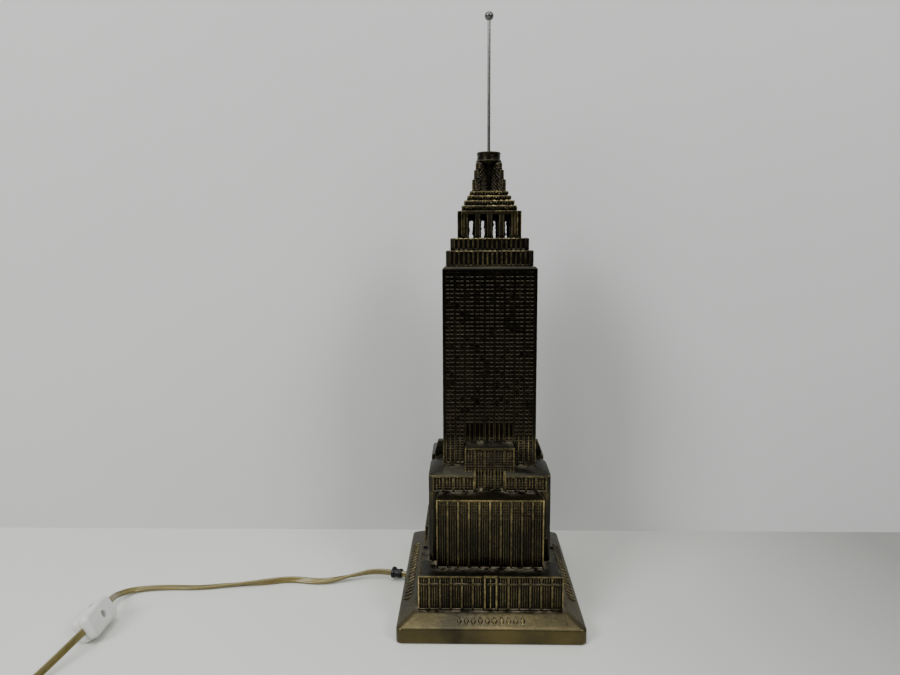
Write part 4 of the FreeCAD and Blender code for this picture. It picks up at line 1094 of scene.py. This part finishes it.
def flex_pieces():
    nodes = frame["nodes"]
    lamp_path = spline_points(LAMP_ROUTE)
    supply_path = spline_points(SUPPLY_ROUTE + coil_route() + PLUG_ROUTE)
    lamp, _ = sweep_flex("flex_to_switch", lamp_path, LAMP_TILTS)
    supply, supply_length = sweep_flex("flex_to_plug", supply_path, SUPPLY_TILTS)
    switch = [bpy.data.objects.get("shaped_" + n) or nodes[n]
              for n in sorted(nodes) if n.startswith("switch_")]
    plug = [nodes[n] for n in ("plug_body", "plug_blade_line", "plug_blade_neutral", "coil_tie")]
    for piece, path, route, length, end, replaced, carried in (
            (lamp, lamp_path, LAMP_ROUTE, 0.290, "fitting", ["lamp_cord"], [nodes["cord_bushing"], *switch]),
            (supply, supply_path, SUPPLY_ROUTE, supply_length * MM, "plug",
             ["supply_cord", "cord_coil", "plug_cord"], plug)):
        finish_with(piece, "gold_flex")
        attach(piece, "lamp")
        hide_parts(*replaced)


flex_pieces()


# ---- stage, light and camera

def one_sided(name, colour, roughness, mottle, painted_falloff):
    """A matt surface, darkened towards the right by painted shade, and clear from behind."""
    n = Nodes(name)
    blotch, fine = n.noise(3.0, 5), n.noise(240, 4)
    dark = tuple(mottle * c for c in colour)
    n.bump(fine, 0.1, 0.2 * MM)
    # painted shade: the surface darkens towards +X, standing in for light falling off there
    away = n.span(n.part("X", n.place()), 0.03, 0.4, 0.0, painted_falloff)
    painted = n.mix(n.span(blotch, 0.3, 0.7), colour, dark)
    n.set(Base_Color=n.mix(away, painted, (0.1, 0.1, 0.095)), Roughness=roughness)
    clear = n.add("BsdfTransparent")
    behind = n.add("NewGeometry").outputs["Backfacing"]
    both = n.add("MixShader", i0=behind, i1=n.shader.outputs[0], i2=clear.outputs[0])
    n.feed(n.tree.nodes["Material Output"].inputs["Surface"], both.outputs[0])
    return n.material


def make_stage():
    reach = STAGE_REACH
    floor = [(x * reach, y * reach, 0) for x, y in ((-1, -1), (1, -1), (1, 1), (-1, 1))]
    wall = [(x * reach, WALL_Y, z) for x, z in ((1, -0.001), (1, reach), (-1, reach), (-1, -0.001))]
    for name, corners, material in (
            ("floor", floor, one_sided("floor_paint", (0.60, 0.61, 0.57), 0.6, 0.95, 0.72)),
            ("wall", wall, one_sided("wall_paint", (0.55, 0.56, 0.55), 0.8, 0.97, 0.0))):
        mesh = bpy.data.meshes.new(name)
        mesh.from_pydata(corners, [], [(0, 1, 2, 3)])
        mesh.materials.append(material)
        plane = link(name, mesh)
        plane.visible_shadow = name == "floor"


def make_lights():
    world = bpy.data.worlds.new("room")
    world.use_nodes = True
    inputs = world.node_tree.nodes["Background"].inputs
    inputs["Color"].default_value = (0.84, 0.86, 0.86, 1.0)
    inputs["Strength"].default_value = 0.10
    bpy.context.scene.world = world
    for name, place, target, size, power in LIGHTS:
        data = bpy.data.lights.new(name, "AREA")
        data.shape = "RECTANGLE"
        data.size, data.size_y = size
        data.energy = power
        light = link(name, data)
        light.location = place
        light.rotation_mode = "QUATERNION"
        light.rotation_quaternion = (Vector(target) - Vector(place)).to_track_quat("-Z", "Y")


def make_camera():
    ahead = Vector((-math.sin(YAW) * math.cos(PITCH), math.cos(YAW) * math.cos(PITCH), -math.sin(PITCH)))
    level = ahead.cross(UP).normalized()
    above = level.cross(ahead)
    right = level * math.cos(ROLL) + above * math.sin(ROLL)
    data = bpy.data.cameras.new("camera")
    data.sensor_width = 36.0
    data.lens = LENS
    data.clip_start, data.clip_end = 0.01, 50.0
    camera = link("camera", data)
    turn = Matrix((right, right.cross(ahead), -ahead)).transposed()
    camera.rotation_mode = "QUATERNION"
    camera.rotation_quaternion = turn.to_quaternion()
    camera.location = CAMERA_PLACE
    bpy.context.scene.camera = camera


make_stage()
make_lights()
make_camera()
